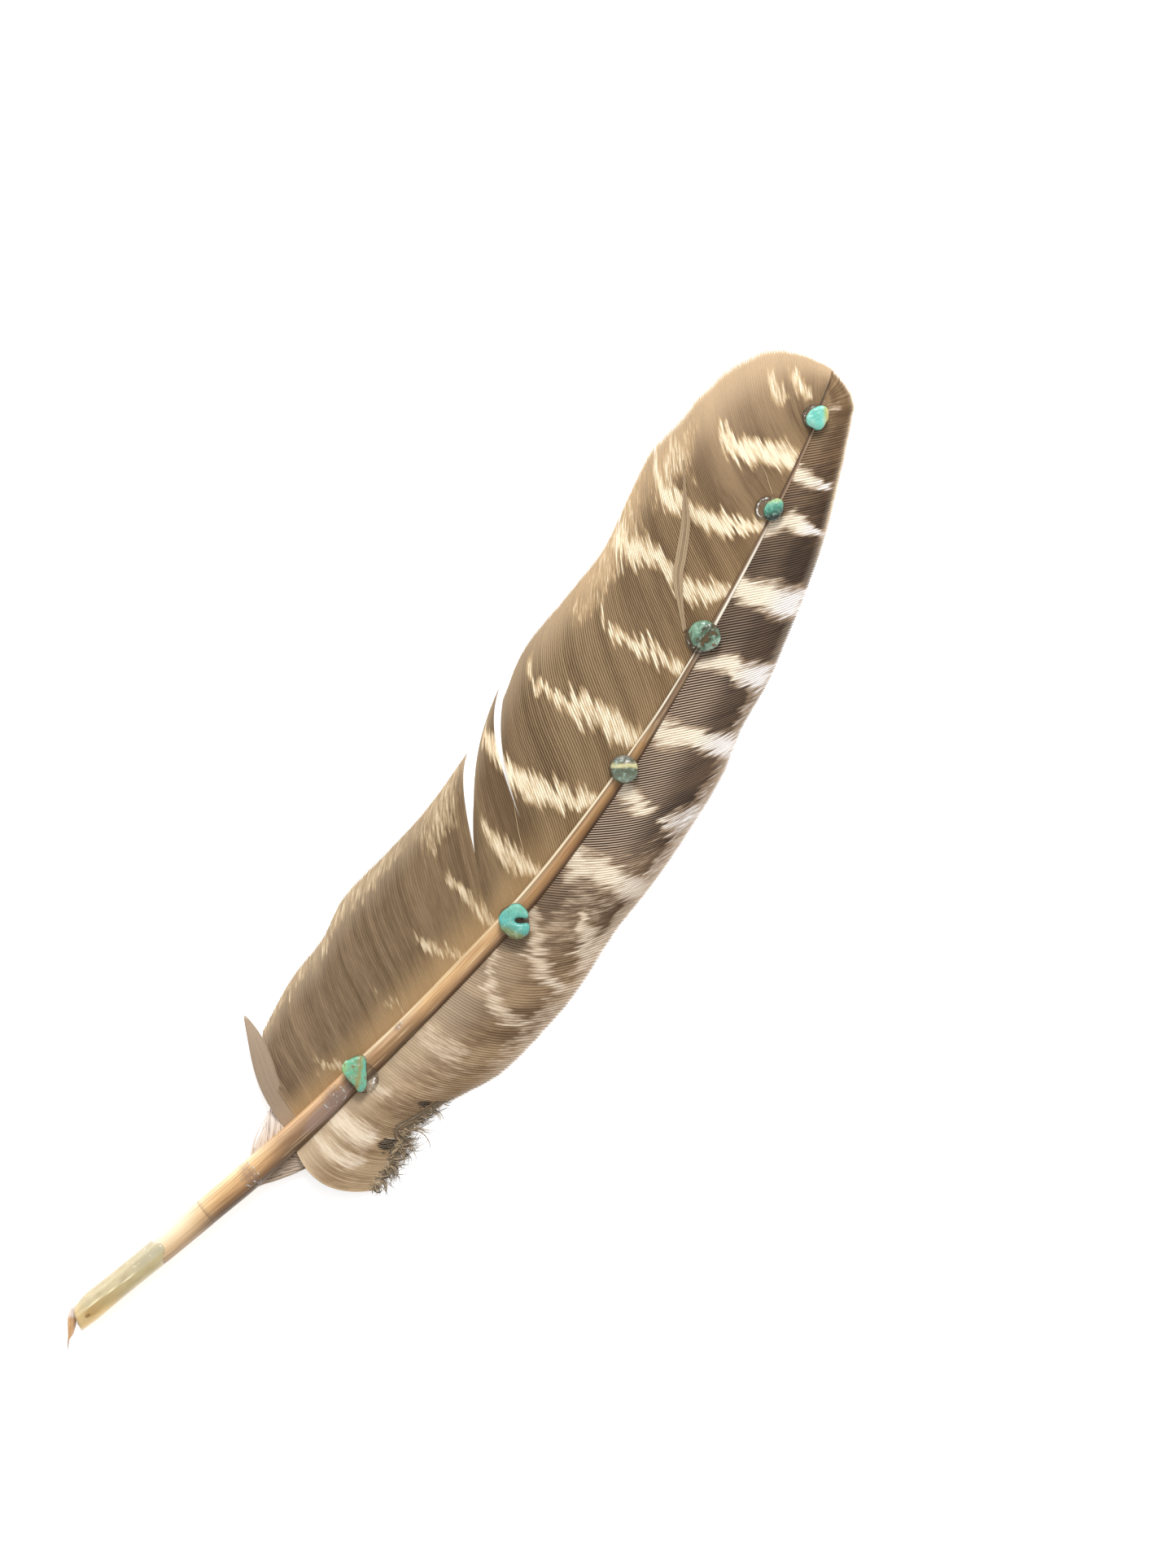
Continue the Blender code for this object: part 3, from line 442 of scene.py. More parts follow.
# Pale bars: how strong, and stops of root X, fraction along the barb, and half width along the shaft.
WIDE_BARS = (
    (0.45, ((89, 0.02, 1.0), (86, 0.1, 1.2), (82, 0.22, 0.8))),
    (0.3, ((108, 0.05, 1.0), (103, 0.2, 0.9))),
    (0.55, ((127, 0.03, 1.1), (122, 0.12, 1.2), (118, 0.27, 0.8))),
    (0.6, ((139, 0.02, 1.2), (136, 0.1, 1.4), (133, 0.25, 1.2), (130, 0.35, 0.7))),
    (0.7, ((155, 0.02, 1.4), (151, 0.12, 1.9), (148, 0.25, 1.8), (146, 0.38, 1.5), (145, 0.47, 0.8))),
    (1.0, (
        (177, 0.02, 1.7), (172, 0.1, 2.5), (167, 0.2, 2.7), (163, 0.3, 2.7), (160, 0.4, 2.3),
        (157, 0.5, 2.0), (155, 0.6, 1.5), (152, 0.75, 1.0), (149, 0.92, 0.6),
    )),
    (1.0, (
        (196, 0.02, 1.9), (191, 0.13, 2.8), (188, 0.25, 2.8), (184, 0.35, 2.5), (181, 0.45, 2.0),
        (178, 0.52, 1.4), (176, 0.6, 0.9), (173, 0.7, 0.8), (171, 0.82, 0.8),
    )),
    (0.95, (
        (216, 0.03, 1.3), (212, 0.13, 1.9), (209, 0.23, 1.8), (205, 0.33, 1.5), (202, 0.42, 1.3),
        (200, 0.5, 1.0), (198, 0.6, 0.7),
    )),
    (1.0, (
        (238, 0.02, 1.5), (233, 0.1, 2.2), (229, 0.2, 2.4), (226, 0.27, 2.2), (225, 0.35, 1.8),
        (224, 0.45, 1.6), (221, 0.55, 2.3), (217, 0.65, 3.4), (213, 0.74, 3.8), (209, 0.84, 3.0),
        (205, 0.95, 1.5),
    )),
    (1.0, (
        (256, 0.03, 1.4), (251, 0.13, 2.1), (247, 0.23, 2.4), (243, 0.35, 2.3), (240, 0.45, 2.0),
        (237, 0.55, 2.2), (234, 0.65, 2.0), (231, 0.78, 1.5), (229, 0.95, 0.8),
    )),
    (1.0, (
        (273, 0.05, 2.2), (270, 0.2, 2.8), (267, 0.3, 2.9), (264, 0.4, 2.8), (261, 0.5, 2.4),
        (259.5, 0.6, 1.8), (259, 0.7, 1.1),
    )),
    (0.55, ((243, 0.62, 0.6), (242, 0.82, 0.7))),
    (0.7, ((284.5, 0.38, 1.1), (283, 0.55, 1.3), (281.5, 0.82, 0.9))),
    (0.6, ((278, 0.48, 1.3), (276.5, 0.64, 1.5), (275.5, 0.86, 1.0))),
    (0.45, ((190, 0.76, 0.7), (188, 0.86, 0.6))),
    (0.45, ((196, 0.8, 0.6), (194, 0.9, 0.6))),
    (0.34, ((80, 0.9, 9.0), (80, 1.0, 9.0))),
    (0.36, ((105, 0.86, 16.0), (105, 1.0, 20.0))),
    (0.4, ((131, 0.6, 4.0), (130, 1.0, 9.0))),
    (0.44, ((205, 0.74, 14.0), (205, 1.0, 20.0))),
    (0.5, ((236, 0.74, 8.0), (238, 0.9, 12.0))),
)
NARROW_BARS = (
    (0.85, ((72.5, 0.05, 1.6), (73.5, 0.62, 2.0))),
    (1.0, ((79, 0.04, 2.6), (80, 0.62, 2.2))),
    (0.7, ((90, 0.04, 2.0), (91, 0.3, 1.6))),
    (0.5, ((108, 0.05, 3.6), (107, 0.5, 3.0))),
    (0.65, (
        (134, 0.02, 1.4), (130, 0.1, 1.9), (126, 0.18, 1.8), (124, 0.25, 1.8), (122, 0.35, 1.7),
        (121, 0.45, 1.5), (119.5, 0.55, 1.3), (118, 0.8, 0.8),
    )),
    (0.7, (
        (147, 0.03, 1.6), (143, 0.12, 2.0), (139, 0.22, 2.0), (136, 0.32, 1.9), (134, 0.42, 1.8),
        (132, 0.52, 1.7), (130, 0.62, 1.4), (126, 0.85, 1.0),
    )),
    (0.85, ((147, 0.42, 1.2), (143, 0.52, 1.6), (141, 0.62, 1.9), (138, 0.72, 2.4), (132, 0.97, 3.3))),
    (0.9, (
        (165, 0.0, 2.6), (160, 0.1, 3.8), (161, 0.25, 2.7), (158, 0.35, 2.1), (157, 0.45, 2.0),
        (155, 0.55, 2.2), (153, 0.65, 2.5), (149, 0.85, 3.0), (147, 0.97, 3.2),
    )),
    (0.9, ((185, 0.0, 2.1), (182, 0.1, 2.4), (179, 0.2, 2.2), (176, 0.3, 1.8), (175, 0.4, 1.1))),
    (0.75, ((171, 0.58, 1.0), (170, 0.64, 2.1), (169, 0.7, 3.0), (167, 0.8, 3.5), (165, 0.97, 3.5))),
    (1.0, (
        (202, 0.0, 3.0), (199, 0.1, 3.2), (197, 0.25, 2.8), (196, 0.4, 2.2), (195, 0.5, 2.0),
        (193, 0.6, 2.2), (192, 0.7, 2.5), (190, 0.8, 3.0), (184, 1.0, 3.7),
    )),
    (1.0, (
        (219, 0.06, 1.1), (218, 0.3, 1.7), (217, 0.45, 2.0), (214, 0.55, 2.5), (213, 0.65, 2.9),
        (212, 0.75, 3.2), (210, 0.85, 3.5), (207, 0.97, 3.9),
    )),
    (1.0, (
        (241, 0.0, 2.2), (240, 0.1, 2.6), (238, 0.2, 2.9), (237, 0.35, 3.1), (236, 0.5, 3.5),
        (234, 0.65, 3.7), (232, 0.8, 3.9), (230, 0.97, 3.9),
    )),
    (0.95, (
        (256, 0.0, 1.9), (257, 0.2, 2.3), (258, 0.3, 2.3), (257, 0.4, 2.3), (256, 0.5, 2.1),
        (255, 0.6, 1.9), (254, 0.7, 1.6), (253, 0.8, 1.3), (251, 0.92, 1.0),
    )),
    (0.9, ((272, 0.0, 1.4), (270, 0.15, 1.7), (269, 0.3, 1.7), (268, 0.45, 1.6), (265, 0.87, 0.7))),
    (0.5, ((287, 0.2, 0.8), (287, 0.6, 0.8))),
    (0.42, ((118, 0.8, 12.0), (118, 1.0, 18.0))),
    (0.5, ((152, 0.84, 24.0), (152, 1.0, 30.0))),
    (0.3, ((150, 0.2, 16.0), (152, 0.7, 14.0))),
    (0.4, ((198, 0.86, 16.0), (198, 1.0, 18.0))),
    (0.22, ((96, 0.1, 16.0), (98, 0.7, 16.0))),
)

# Where neighbouring barbs have come unhooked: root X, fraction where the split starts, opening at the edge.
WIDE_SPLITS = ((92.0, 0.72, 0.5), (118.0, 0.8, 0.4), (176.5, 0.7, 0.5), (207.0, 0.6, 0.7), (228.5, 0.7, 0.6))
NARROW_SPLITS = ((104.0, 0.85, 0.6), (118.0, 0.82, 0.5), (152.0, 0.85, 0.5), (181.0, 0.86, 0.5))

# The chips of turquoise, from the feather's tip. For its finish each has the heading in degrees along which
# its colours change, their stops, the colours and shares of its veins and patches, how far the colours wave,
# and the grain's scale. For its shape it has an outline, tilts along X and Y, how far its top is domed and
# dented, its share of the outline's size, and how far it lies from its packed place.
STONES = (
    {
        "finish": "pale_turquoise", "slot": "turquoise", "seed": 3.0, "heading": -50.0,
        "outline": (
            (-2.9, 1.7), (-0.8, 2.7), (1.9, 2.1), (3.6, 0.3), (2.7, -1.6), (0.1, -2.6), (-2.4, -2.3),
            (-3.0, -0.6),
        ),
        "stops": (
            (0.1, 136, 206, 188), (0.35, 110, 196, 180), (0.64, 122, 204, 186), (0.74, 164, 190, 122),
            (0.86, 196, 168, 84),
        ),
        "vein": (176, 196, 156), "matrix": (190, 172, 104),
        "veins": 0.25, "patches": 0.0, "wave": 0.16, "scale": 0.7,
        "tilt": (0.06, 0.12), "dome": 0.35, "dents": 0.3, "size": 0.88, "slide": (0.0, 0.0),
    },
    {
        "finish": "sea_turquoise", "slot": "turquoise", "seed": 11.0, "heading": -130.0,
        "outline": (
            (-2.6, 0.5), (-1.1, 1.8), (1.3, 1.7), (2.9, 0.2), (2.2, -1.2), (-1.0, -2.0), (-2.5, -1.2),
        ),
        "stops": (
            (0.1, 196, 190, 118), (0.28, 150, 188, 136), (0.45, 100, 172, 148), (0.66, 66, 132, 112),
            (0.86, 34, 46, 38),
        ),
        "vein": (44, 54, 40), "matrix": (46, 50, 36),
        "veins": 0.6, "patches": 0.3, "wave": 0.3, "scale": 1.3,
        "tilt": (0.14, 0.16), "dome": 0.4, "dents": 0.4, "size": 1.0, "slide": (-0.5, -0.5),
    },
    {
        "finish": "mottled_turquoise", "slot": "green_turquoise", "seed": 19.0, "heading": -100.0,
        "outline": (
            (-3.2, 1.0), (-1.4, 3.5), (1.4, 3.4), (3.2, 1.5), (3.2, -1.6), (1.6, -3.5), (-1.4, -3.3),
            (-3.3, -1.2),
        ),
        "stops": (
            (0.1, 112, 146, 122), (0.3, 84, 112, 88), (0.4, 54, 54, 34), (0.55, 92, 66, 32),
            (0.68, 56, 56, 34), (0.78, 92, 122, 100), (0.95, 156, 182, 164),
        ),
        "vein": (70, 72, 48), "matrix": (104, 76, 38),
        "veins": 0.8, "patches": 0.62, "wave": 1.1, "scale": 1.0,
        "tilt": (0.0, 0.0), "dome": 0.5, "dents": 0.3, "size": 1.0, "slide": (0.0, 0.0),
    },
    {
        "finish": "mossy_turquoise", "slot": "green_turquoise", "seed": 27.0, "heading": 40.0,
        "outline": (
            (-3.1, 0.9), (-1.3, 3.1), (1.2, 3.2), (3.1, 1.3), (3.2, -1.2), (1.3, -3.2), (-1.1, -3.3),
            (-3.2, -1.1),
        ),
        "stops": (
            (0.05, 122, 134, 116), (0.25, 104, 114, 96), (0.5, 78, 84, 66), (0.57, 190, 182, 132),
            (0.65, 206, 198, 150), (0.72, 132, 126, 96), (0.8, 80, 76, 62), (0.96, 128, 126, 116),
        ),
        "vein": (60, 64, 48), "matrix": (70, 78, 58),
        "veins": 0.6, "patches": 0.3, "wave": 0.22, "scale": 1.1,
        "tilt": (0.0, 0.0), "dome": 0.45, "dents": 0.2, "size": 0.95, "slide": (0.0, 0.0),
    },
    {
        "finish": "bright_turquoise", "slot": "turquoise", "seed": 35.0, "heading": 18.0,
        "outline": (
            (3.7, 2.2), (4.0, -0.2), (3.4, -1.7), (2.8, -1.9), (2.0, -0.8), (1.0, 0.1), (0.2, 0.0),
            (0.1, -0.9), (0.8, -2.0), (1.7, -3.0), (0.8, -4.2), (-1.1, -4.4), (-2.8, -3.2),
            (-3.5, -0.6), (-2.6, 2.3), (-1.0, 3.4), (1.1, 3.2),
        ),
        "stops": (
            (0.0, 118, 116, 70), (0.16, 116, 130, 84), (0.27, 94, 158, 142), (0.4, 92, 174, 164),
            (0.95, 112, 182, 160),
        ),
        "vein": (70, 96, 80), "matrix": (128, 126, 80),
        "veins": 0.3, "patches": 0.02, "wave": 0.3, "scale": 0.8,
        "tilt": (0.05, -0.05), "dome": 0.15, "dents": 0.15, "size": 1.0, "slide": (0.0, 0.0),
    },
    {
        "finish": "veined_turquoise", "slot": "turquoise", "seed": 43.0, "heading": -60.0,
        "outline": (
            (4.1, 2.1), (4.5, 0.9), (2.8, -0.9), (1.1, -2.5), (-1.3, -4.0), (-2.5, -3.5), (-2.2, -1.4),
            (-1.9, 1.0), (-1.0, 3.2), (0.5, 3.8), (1.8, 3.2),
        ),
        "stops": (
            (0.0, 150, 188, 120), (0.24, 104, 182, 150), (0.42, 112, 164, 126), (0.5, 142, 138, 92),
            (0.57, 136, 150, 98), (0.66, 96, 176, 152), (1.0, 120, 180, 140),
        ),
        "vein": (150, 106, 56), "matrix": (128, 106, 60),
        "veins": 0.3, "patches": 0.5, "wave": 0.5, "scale": 0.8,
        "tilt": (-0.04, 0.06), "dome": 0.15, "dents": 0.25, "size": 1.0, "slide": (0.0, 0.0),
    },
)


# ---------------------------------------------------------------- places


def row_point(point):
    """A point of the drawing, in metres, in the frame that the model was packed in."""
    return (Vector(point) + SHIFT) * MM


def blend(x, start, end):
    """0 before start and 1 past end, with a smooth rise between them. x may be an array."""
    t = np.clip((np.asarray(x, float) - start) / (end - start), 0.0, 1.0)
    return t * t * (3 - 2 * t)


def ease(x, start, end):
    """blend() of one number."""
    return float(blend(x, start, end))


def smooth_value(rows, x, column):
    """The column's value at x: a smooth curve through the rows, held level past both ends."""
    last = len(rows) - 1
    if x <= rows[0][0]:
        return rows[0][column]
    if x >= rows[last][0]:
        return rows[last][column]
    i = max(k for k in range(last) if rows[k][0] <= x)
    x0, x1 = rows[i][0], rows[i + 1][0]
    y0, y1 = rows[i][column], rows[i + 1][column]
    here = (y1 - y0) / (x1 - x0)
    before = (y0 - rows[i - 1][column]) / (x0 - rows[i - 1][0]) if i > 0 else here
    after = (rows[i + 2][column] - y1) / (rows[i + 2][0] - x1) if i + 2 <= last else here
    m0 = (before + here) / 2
    m1 = (here + after) / 2
    t = (x - x0) / (x1 - x0)
    rise = y0 * (1 + 2 * t) * (1 - t) ** 2 + y1 * t * t * (3 - 2 * t)
    return rise + (x1 - x0) * (m0 * t * (1 - t) ** 2 - m1 * t * t * (1 - t))


def wander(place, seed):
    """Smooth noise about 0 that changes over a distance of about 1."""
    return noise.noise(Vector((place, seed * 7.31, seed * 3.17)))


def smooth_path(points, count):
    """Points spread evenly by stop along a smooth curve through the given ones."""
    given = [Vector(p) for p in points]
    given = [given[0] * 2 - given[1]] + given + [given[-1] * 2 - given[-2]]
    spans = len(given) - 3
    path = []
    for step in range(count):
        place = spans * step / (count - 1)
        i = min(int(place), spans - 1)
        t = place - i
        a, b, c, d = given[i : i + 4]
        curve = a * 2 - b * 5 + c * 4 - d
        turn = b * 3 - a - c * 3 + d
        path.append(b + ((c - a) * t + curve * t * t + turn * t**3) / 2)
    return path


# ---------------------------------------------------------------- shaft


def shaft_middle(x):
    return smooth_value(SHAFT, x, 1)


def shaft_width(x):
    return smooth_value(SHAFT, x, 2)


def shaft_height(x):
    return smooth_value(SHAFT, x, 3)


def shaft_base(x):
    return max(0.0, smooth_value(SHAFT, x, 4)) if x > LIFT_START else 0.0


def shaft_sideways(x):
    """Unit vector across the shaft, towards the wide vane."""
    slope = shaft_middle(x + 0.5) - shaft_middle(x - 0.5)
    return Vector((-slope, 1.0, 0.0)).normalized()


def shaft_point(x, angle, grow=0.0):
    """A point of the shaft's section at x: round at the barrel, square with a flat foot further on."""
    square = ease(x, *SQUARING)
    power = 2.0 / (2.0 + SQUARENESS * square)
    half_width = shaft_width(x) / 2 + grow
    half_height = shaft_height(x) / 2 + grow
    c = math.cos(angle)
    s = math.sin(angle)
    across = half_width * math.copysign(abs(c) ** power, c)
    foot = FLAT_FOOT * square if s < 0 else 0.0
    lift = max(-half_height, (half_height + foot) * math.copysign(abs(s) ** power, s))
    if x > GROOVE[0] and s < 0:
        groove = 1.0 - ease(abs(across) / half_width, 0.15, 0.5)
        lift += GROOVE_DEPTH * half_height * ease(x, *GROOVE) * groove
    where = Vector((x, shaft_middle(x), 0.0)) + shaft_sideways(x) * across
    where.z = max(0.0, shaft_base(x) + shaft_height(x) / 2 + lift)
    return where


# ---------------------------------------------------------------- meshes


class Strands:
    """Closed strands gathered into one mesh. Every point carries values that the materials read."""

    def __init__(self):
        self.points = []
        self.faces = []
        self.values = {}
        self.maps = []
        self.rows = 0
        self.count = 0

    def add(self, rings, values, ring_closed=False):
        """Skins the rings, by ring, point and coordinate. The ends are capped, or joined if ring_closed."""
        rings = np.asarray(rings, float)
        n, m = rings.shape[:2]
        index = self.count + np.arange(n * m).reshape(n, m)
        self.points.append(rings.reshape(-1, 3))
        self.count += n * m
        for name, value in values.items():
            value = np.asarray(value, float)
            wide = (n, m, 3) if value.ndim == 3 else (n, m)
            self.values.setdefault(name, []).append(np.broadcast_to(value, wide).reshape(n * m, *wide[2:]))
        spans = n if ring_closed else n - 1
        for i in range(spans):
            j = (i + 1) % n
            for k in range(m):
                q = (k + 1) % m
                self.faces.append((index[i, k], index[i, q], index[j, q], index[j, k]))
                u0, u1 = i / spans, (i + 1) / spans
                v0, v1 = (k + MAP_MARGIN) / m, (k + 1 - MAP_MARGIN) / m
                self.maps.append((self.rows, ((u0, v0), (u0, v1), (u1, v1), (u1, v0))))
        if not ring_closed:
            for ring in (index[0][::-1], index[-1]):
                self.faces.append(tuple(ring))
                self.maps.append((self.rows, ((0.001, 0.5),) * m))
        self.rows += 1

    def join(self, other):
        """Takes in another set's strands, which carry the same values."""
        self.points.extend(other.points)
        self.faces.extend(tuple(index + self.count for index in face) for face in other.faces)
        self.maps.extend((row + self.rows, face_map) for row, face_map in other.maps)
        for name, parts in other.values.items():
            self.values.setdefault(name, []).extend(parts)
        self.count += other.count
        self.rows += other.rows

    def build(self, name, look):
        """The mesh object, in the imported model's frame and riding on the feather."""
        points = (np.concatenate(self.points) + np.array(SHIFT)) * MM
        mesh = bpy.data.meshes.new(name)
        mesh.from_pydata(points.tolist(), [], [tuple(map(int, face)) for face in self.faces])
        for key, parts in self.values.items():
            data = np.concatenate(parts)
            kind = "FLOAT_VECTOR" if data.ndim == 2 else "FLOAT"
            layer = mesh.attributes.new(key, kind, "POINT")
            layer.data.foreach_set("vector" if data.ndim == 2 else "value", data.astype(np.float32).ravel())
        corners = []
        for row, face_map in self.maps:
            corners.extend((u, (row + v) / self.rows) for u, v in face_map)
        layer = mesh.uv_layers.new(name="OFBake")
        layer.data.foreach_set("uv", np.array(corners, np.float32).ravel())
        return finish_mesh(name, mesh, look)


def finish_mesh(name, mesh, look):
    """Makes the mesh face outwards and links it as a piece that rides on the feather."""
    bm = bmesh.new()
    bm.from_mesh(mesh)
    bmesh.ops.recalc_face_normals(bm, faces=bm.faces)
    bm.to_mesh(mesh)
    bm.free()
    mesh.shade_smooth()
    mesh.materials.append(look)
    obj = bpy.data.objects.new(name, mesh)
    bpy.context.scene.collection.objects.link(obj)
    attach(obj, "root")
    return obj


def stands_for(obj, slot, *nodes):
    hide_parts(*nodes)
    return obj


def strand_rings(path, radius, sides, flat, tip, sizes=None):
    """Rings round a path. The radius falls to a share of it at the tip, and flat squeezes it upwards."""
    points = np.array([tuple(p) for p in path])
    along = np.gradient(points, axis=0)
    along /= np.linalg.norm(along, axis=1)[:, None] + TINY
    across = np.cross(np.array((0.0, 0.0, 1.0)), along)
    across /= np.linalg.norm(across, axis=1)[:, None] + TINY
    up = np.cross(along, across)
    t = np.linspace(0.0, 1.0, len(points))
    size = radius * (1 - (1 - tip) * t**1.6)
    if sizes is not None:
        size = size * np.array(sizes)
    angles = 2 * math.pi * np.arange(sides) / sides
    wide = across[:, None, :] * np.cos(angles)[None, :, None]
    tall = up[:, None, :] * flat * np.sin(angles)[None, :, None]
    return points[:, None, :] + size[:, None, None] * (wide + tall)


# ---------------------------------------------------------------- vanes


def root_of(x, side):
    """Where a barb leaves the shaft: inside its side, above its middle."""
    out = shaft_sideways(x) * side * (shaft_width(x) / 2 - ROOT_DEPTH)
    where = Vector((x, shaft_middle(x), 0.0)) + out
    where.z = shaft_base(x) + ROOT_HEIGHT * shaft_height(x)
    return where


def arch_of(x, side):
    """How far a vane rises between its root and its edge."""
    arch = WIDE_ARCH if side > 0 else FOOT_ARCH - FOOT_ARCH_LOSS * ease(x, *FOOT_ARCH_FALLS)
    return arch - TIP_ARCH_LOSS * ease(x, *TIP_ARCH_FALLS)


def barb_path(rows, x, side, t):
    """Points along the barb whose root is at x, at the fractions t."""
    root = np.array(root_of(x, side))
    tip = np.array((smooth_value(rows, x, 1), smooth_value(rows, x, 2), EDGE_HEIGHT))
    start = math.radians(smooth_value(rows, x, 3))
    end = math.radians(smooth_value(rows, x, 4))
    span = math.hypot(tip[0] - root[0], tip[1] - root[1])
    p1 = root + np.array((math.cos(start), math.sin(start), 0.0)) * span * START_REACH
    p2 = tip - np.array((math.cos(end), math.sin(end), 0.0)) * span * smooth_value(rows, x, 5)
    t = t[:, None]
    u = 1 - t
    path = root * u**3 + p1 * 3 * u * u * t + p2 * 3 * u * t * t + tip * t**3
    s = np.clip(t[:, 0], 0.0, 1.0)
    fall = (EDGE_HEIGHT - root[2]) * t[:, 0] ** 2
    path[:, 2] = root[2] + fall + arch_of(x, side) * np.sin(math.pi * s**0.85)
    return path


def bar_strength(bars, x, t):
    """How pale the barb at x is at the fractions t: 0 is brown and 1 is a bar's full colour."""
    pale = np.zeros_like(t)
    for strength, stops in bars:
        where = [stop[1] for stop in stops]
        middle = np.interp(t, where, [stop[0] for stop in stops])
        half = np.interp(t, where, [stop[2] for stop in stops])
        inside = 1 - blend(np.abs(x - middle) / half, 0.1, 2.1)
        ends = blend(t, where[0] - 0.08, where[0] + 0.01) * (1 - blend(t, where[-1] - 0.05, where[-1] + 0.13))
        pale = np.maximum(pale, strength * inside * ends)
    return pale


def split_shift(splits, x, t):
    """How far a barb moves sideways, along +X, where its neighbours have come unhooked."""
    shift = np.zeros_like(t)
    for place, start, opening in splits:
        away = x - place
        push = math.copysign(opening / 2, away) * math.exp(-abs(away) / SPLIT_REACH)
        shift += push * blend(t, start, 1.15)
    return shift


def barb_roots(first, last, column, fine):
    """Where the barbs from first to last are rooted, at the vane's own spacing times fine."""
    roots = [first]
    while roots[-1] < last:
        roots.append(roots[-1] + fine * smooth_value(BARB_PITCH, roots[-1], column))
    roots = np.array(roots)
    return first + (roots - first) * (last - first) / (roots[-1] - first)


class Vane:
    """One run of barbs from the first row's root to the last's, as arrays of barb, step and coordinate."""

    def __init__(self, rows, side, splits, seed, fine=1.0):
        self.rows = rows
        self.side = side
        self.random = np.random.default_rng(seed)
        self.roots = barb_roots(rows[0][0], rows[-1][0], 1 if side > 0 else 2, fine)
        self.t = np.linspace(0.0, 1.0, BARB_STEPS + 1)
        self.paths = np.array([self.one_path(x, seed, splits) for x in self.roots])
        self.across, self.half = self.widths()

    def one_path(self, x, seed, splits):
        length_luck, drift_luck, height_luck = BARB_LUCK
        length_wave, drift_wave, height_wave = BARB_WAVES
        t = self.t * (1.0 + length_luck * self.random.standard_normal() + length_wave * wander(x / 2.0, seed))
        path = barb_path(self.rows, x, self.side, t)
        drift = drift_wave * wander(x / 6.0, seed + 1) + drift_luck * self.random.standard_normal()
        path[:, 0] += drift * blend(t, 0.3, 1.1) + split_shift(splits, x, t)
        path[:, 2] += height_luck * self.random.standard_normal() * blend(t, 0.0, 0.3)
        path[:, 2] += height_wave * wander(x / 7.0, seed + 2) * blend(t, 0.1, 0.8)
        return path

    def widths(self):
        """Each barb reaches past the middle of the gap to its neighbours, save where a split has opened."""
        along = np.gradient(self.paths, axis=1)
        along[..., 2] = 0.0
        along /= np.linalg.norm(along, axis=2)[..., None]
        across = np.stack((-along[..., 1], along[..., 0], np.zeros_like(along[..., 0])), axis=2)
        gap = np.abs(np.sum(np.diff(self.paths, axis=0) * across[:-1], axis=2))
        padded = np.pad(gap, ((3, 3), (0, 0)), mode="edge")
        usual = np.median([padded[k : k + len(gap)] for k in range(7)], axis=0)
        gap = np.clip(gap, GAP_LEAST, np.maximum(GAP_FLOOR, GAP_MOST * usual))
        before = np.concatenate((gap[:1], gap))
        after = np.concatenate((gap, gap[-1:]))
        half = np.maximum(before, after) / 2 * BARB_OVERLAP
        half *= 1 - 0.6 * blend(self.t, 0.965, 1.0)[None, :]
        return across, half

    def height_near(self, x, y):
        """Height of the web at a place: the mean of its nearest points."""
        away = ((self.paths[..., 0] - x) ** 2 + (self.paths[..., 1] - y) ** 2).ravel()
        nearest = np.argpartition(away, NEAREST)[:NEAREST]
        return float(self.paths[..., 2].ravel()[nearest].mean())


def line_contrast(side, x, t):
    """How deep the lines between barbs look, from 0 to 1: faint at the foot and deepest in mid-feather."""
    if side > 0:
        middle = ease(x, 148.0, 172.0) * (1 - ease(x, 236.0, 260.0))
        leaf = 0.08 * (1 - ease(x, 71.5, 72.5))
        return (0.1 - leaf + 0.42 * middle) * (1 - 0.6 * blend(t, 0.6, 1.0))
    base = 0.2 + 0.08 * ease(x, 95.0, 120.0)
    middle = ease(x, 146.0, 164.0) * (1 - 0.65 * ease(x, 208.0, 240.0))
    inner = (1.0 - base) * middle * (1 - 0.85 * blend(t, 0.25, 0.65))
    fan = 1 - 0.8 * ease(x, 280.0, 287.0)
    return (base + inner - 0.14 * blend(t, 0.6, 0.95)) * fan


def section_places(vane, k):
    """The contrast along the barb, and the places across it of its section's points.

    Where the lines are faint, the shoulders move out to the rims, so that the web looks even.
    """
    depth = np.broadcast_to(line_contrast(vane.side, float(vane.roots[k]), vane.t), vane.t.shape)
    places = np.repeat(BARB_SECTION[None, :, 0], len(vane.t), axis=0)
    shoulder = 0.92 - 0.5 * blend(depth, 0.1, 0.5)
    places[:, 1] = -shoulder
    places[:, 3] = shoulder
    return depth, places


def barb_values(vane, k, bars):
    """The values that colour one barb."""
    x = float(vane.roots[k])
    t = vane.t
    luck = vane.random.standard_normal(3)
    slide = 0.022 * luck[0] + 0.05 * wander(x / 1.6, 31.0 + vane.side)
    bar = bar_strength(bars, x + 0.3 * luck[1], t + slide * blend(t, 0.0, 0.15))
    swing = 0.2 + 0.35 * blend(x, 110.0, 150.0) if vane.side > 0 else 0.55
    tone = 0.5 + 0.1 * luck[2] + swing * wander(x / 4.5, 17.0 + vane.side)
    half = vane.half[k]
    depth, places = section_places(vane, k)
    length = np.concatenate(((0.0,), np.cumsum(np.linalg.norm(np.diff(vane.paths[k], axis=0), axis=1))))
    grain = np.broadcast_arrays(length[:, None], half[:, None] * places, np.array(k * BARB_GRAIN))
    return {
        "bar": bar[:, None],
        "along": t[:, None],
        "root_x": np.array([[x]]),
        "across": places,
        "under": BARB_UNDERSIDE[None, :],
        "tone": np.array([[tone]]),
        "contrast": depth[:, None],
        "grain": np.stack(grain, axis=2),
    }


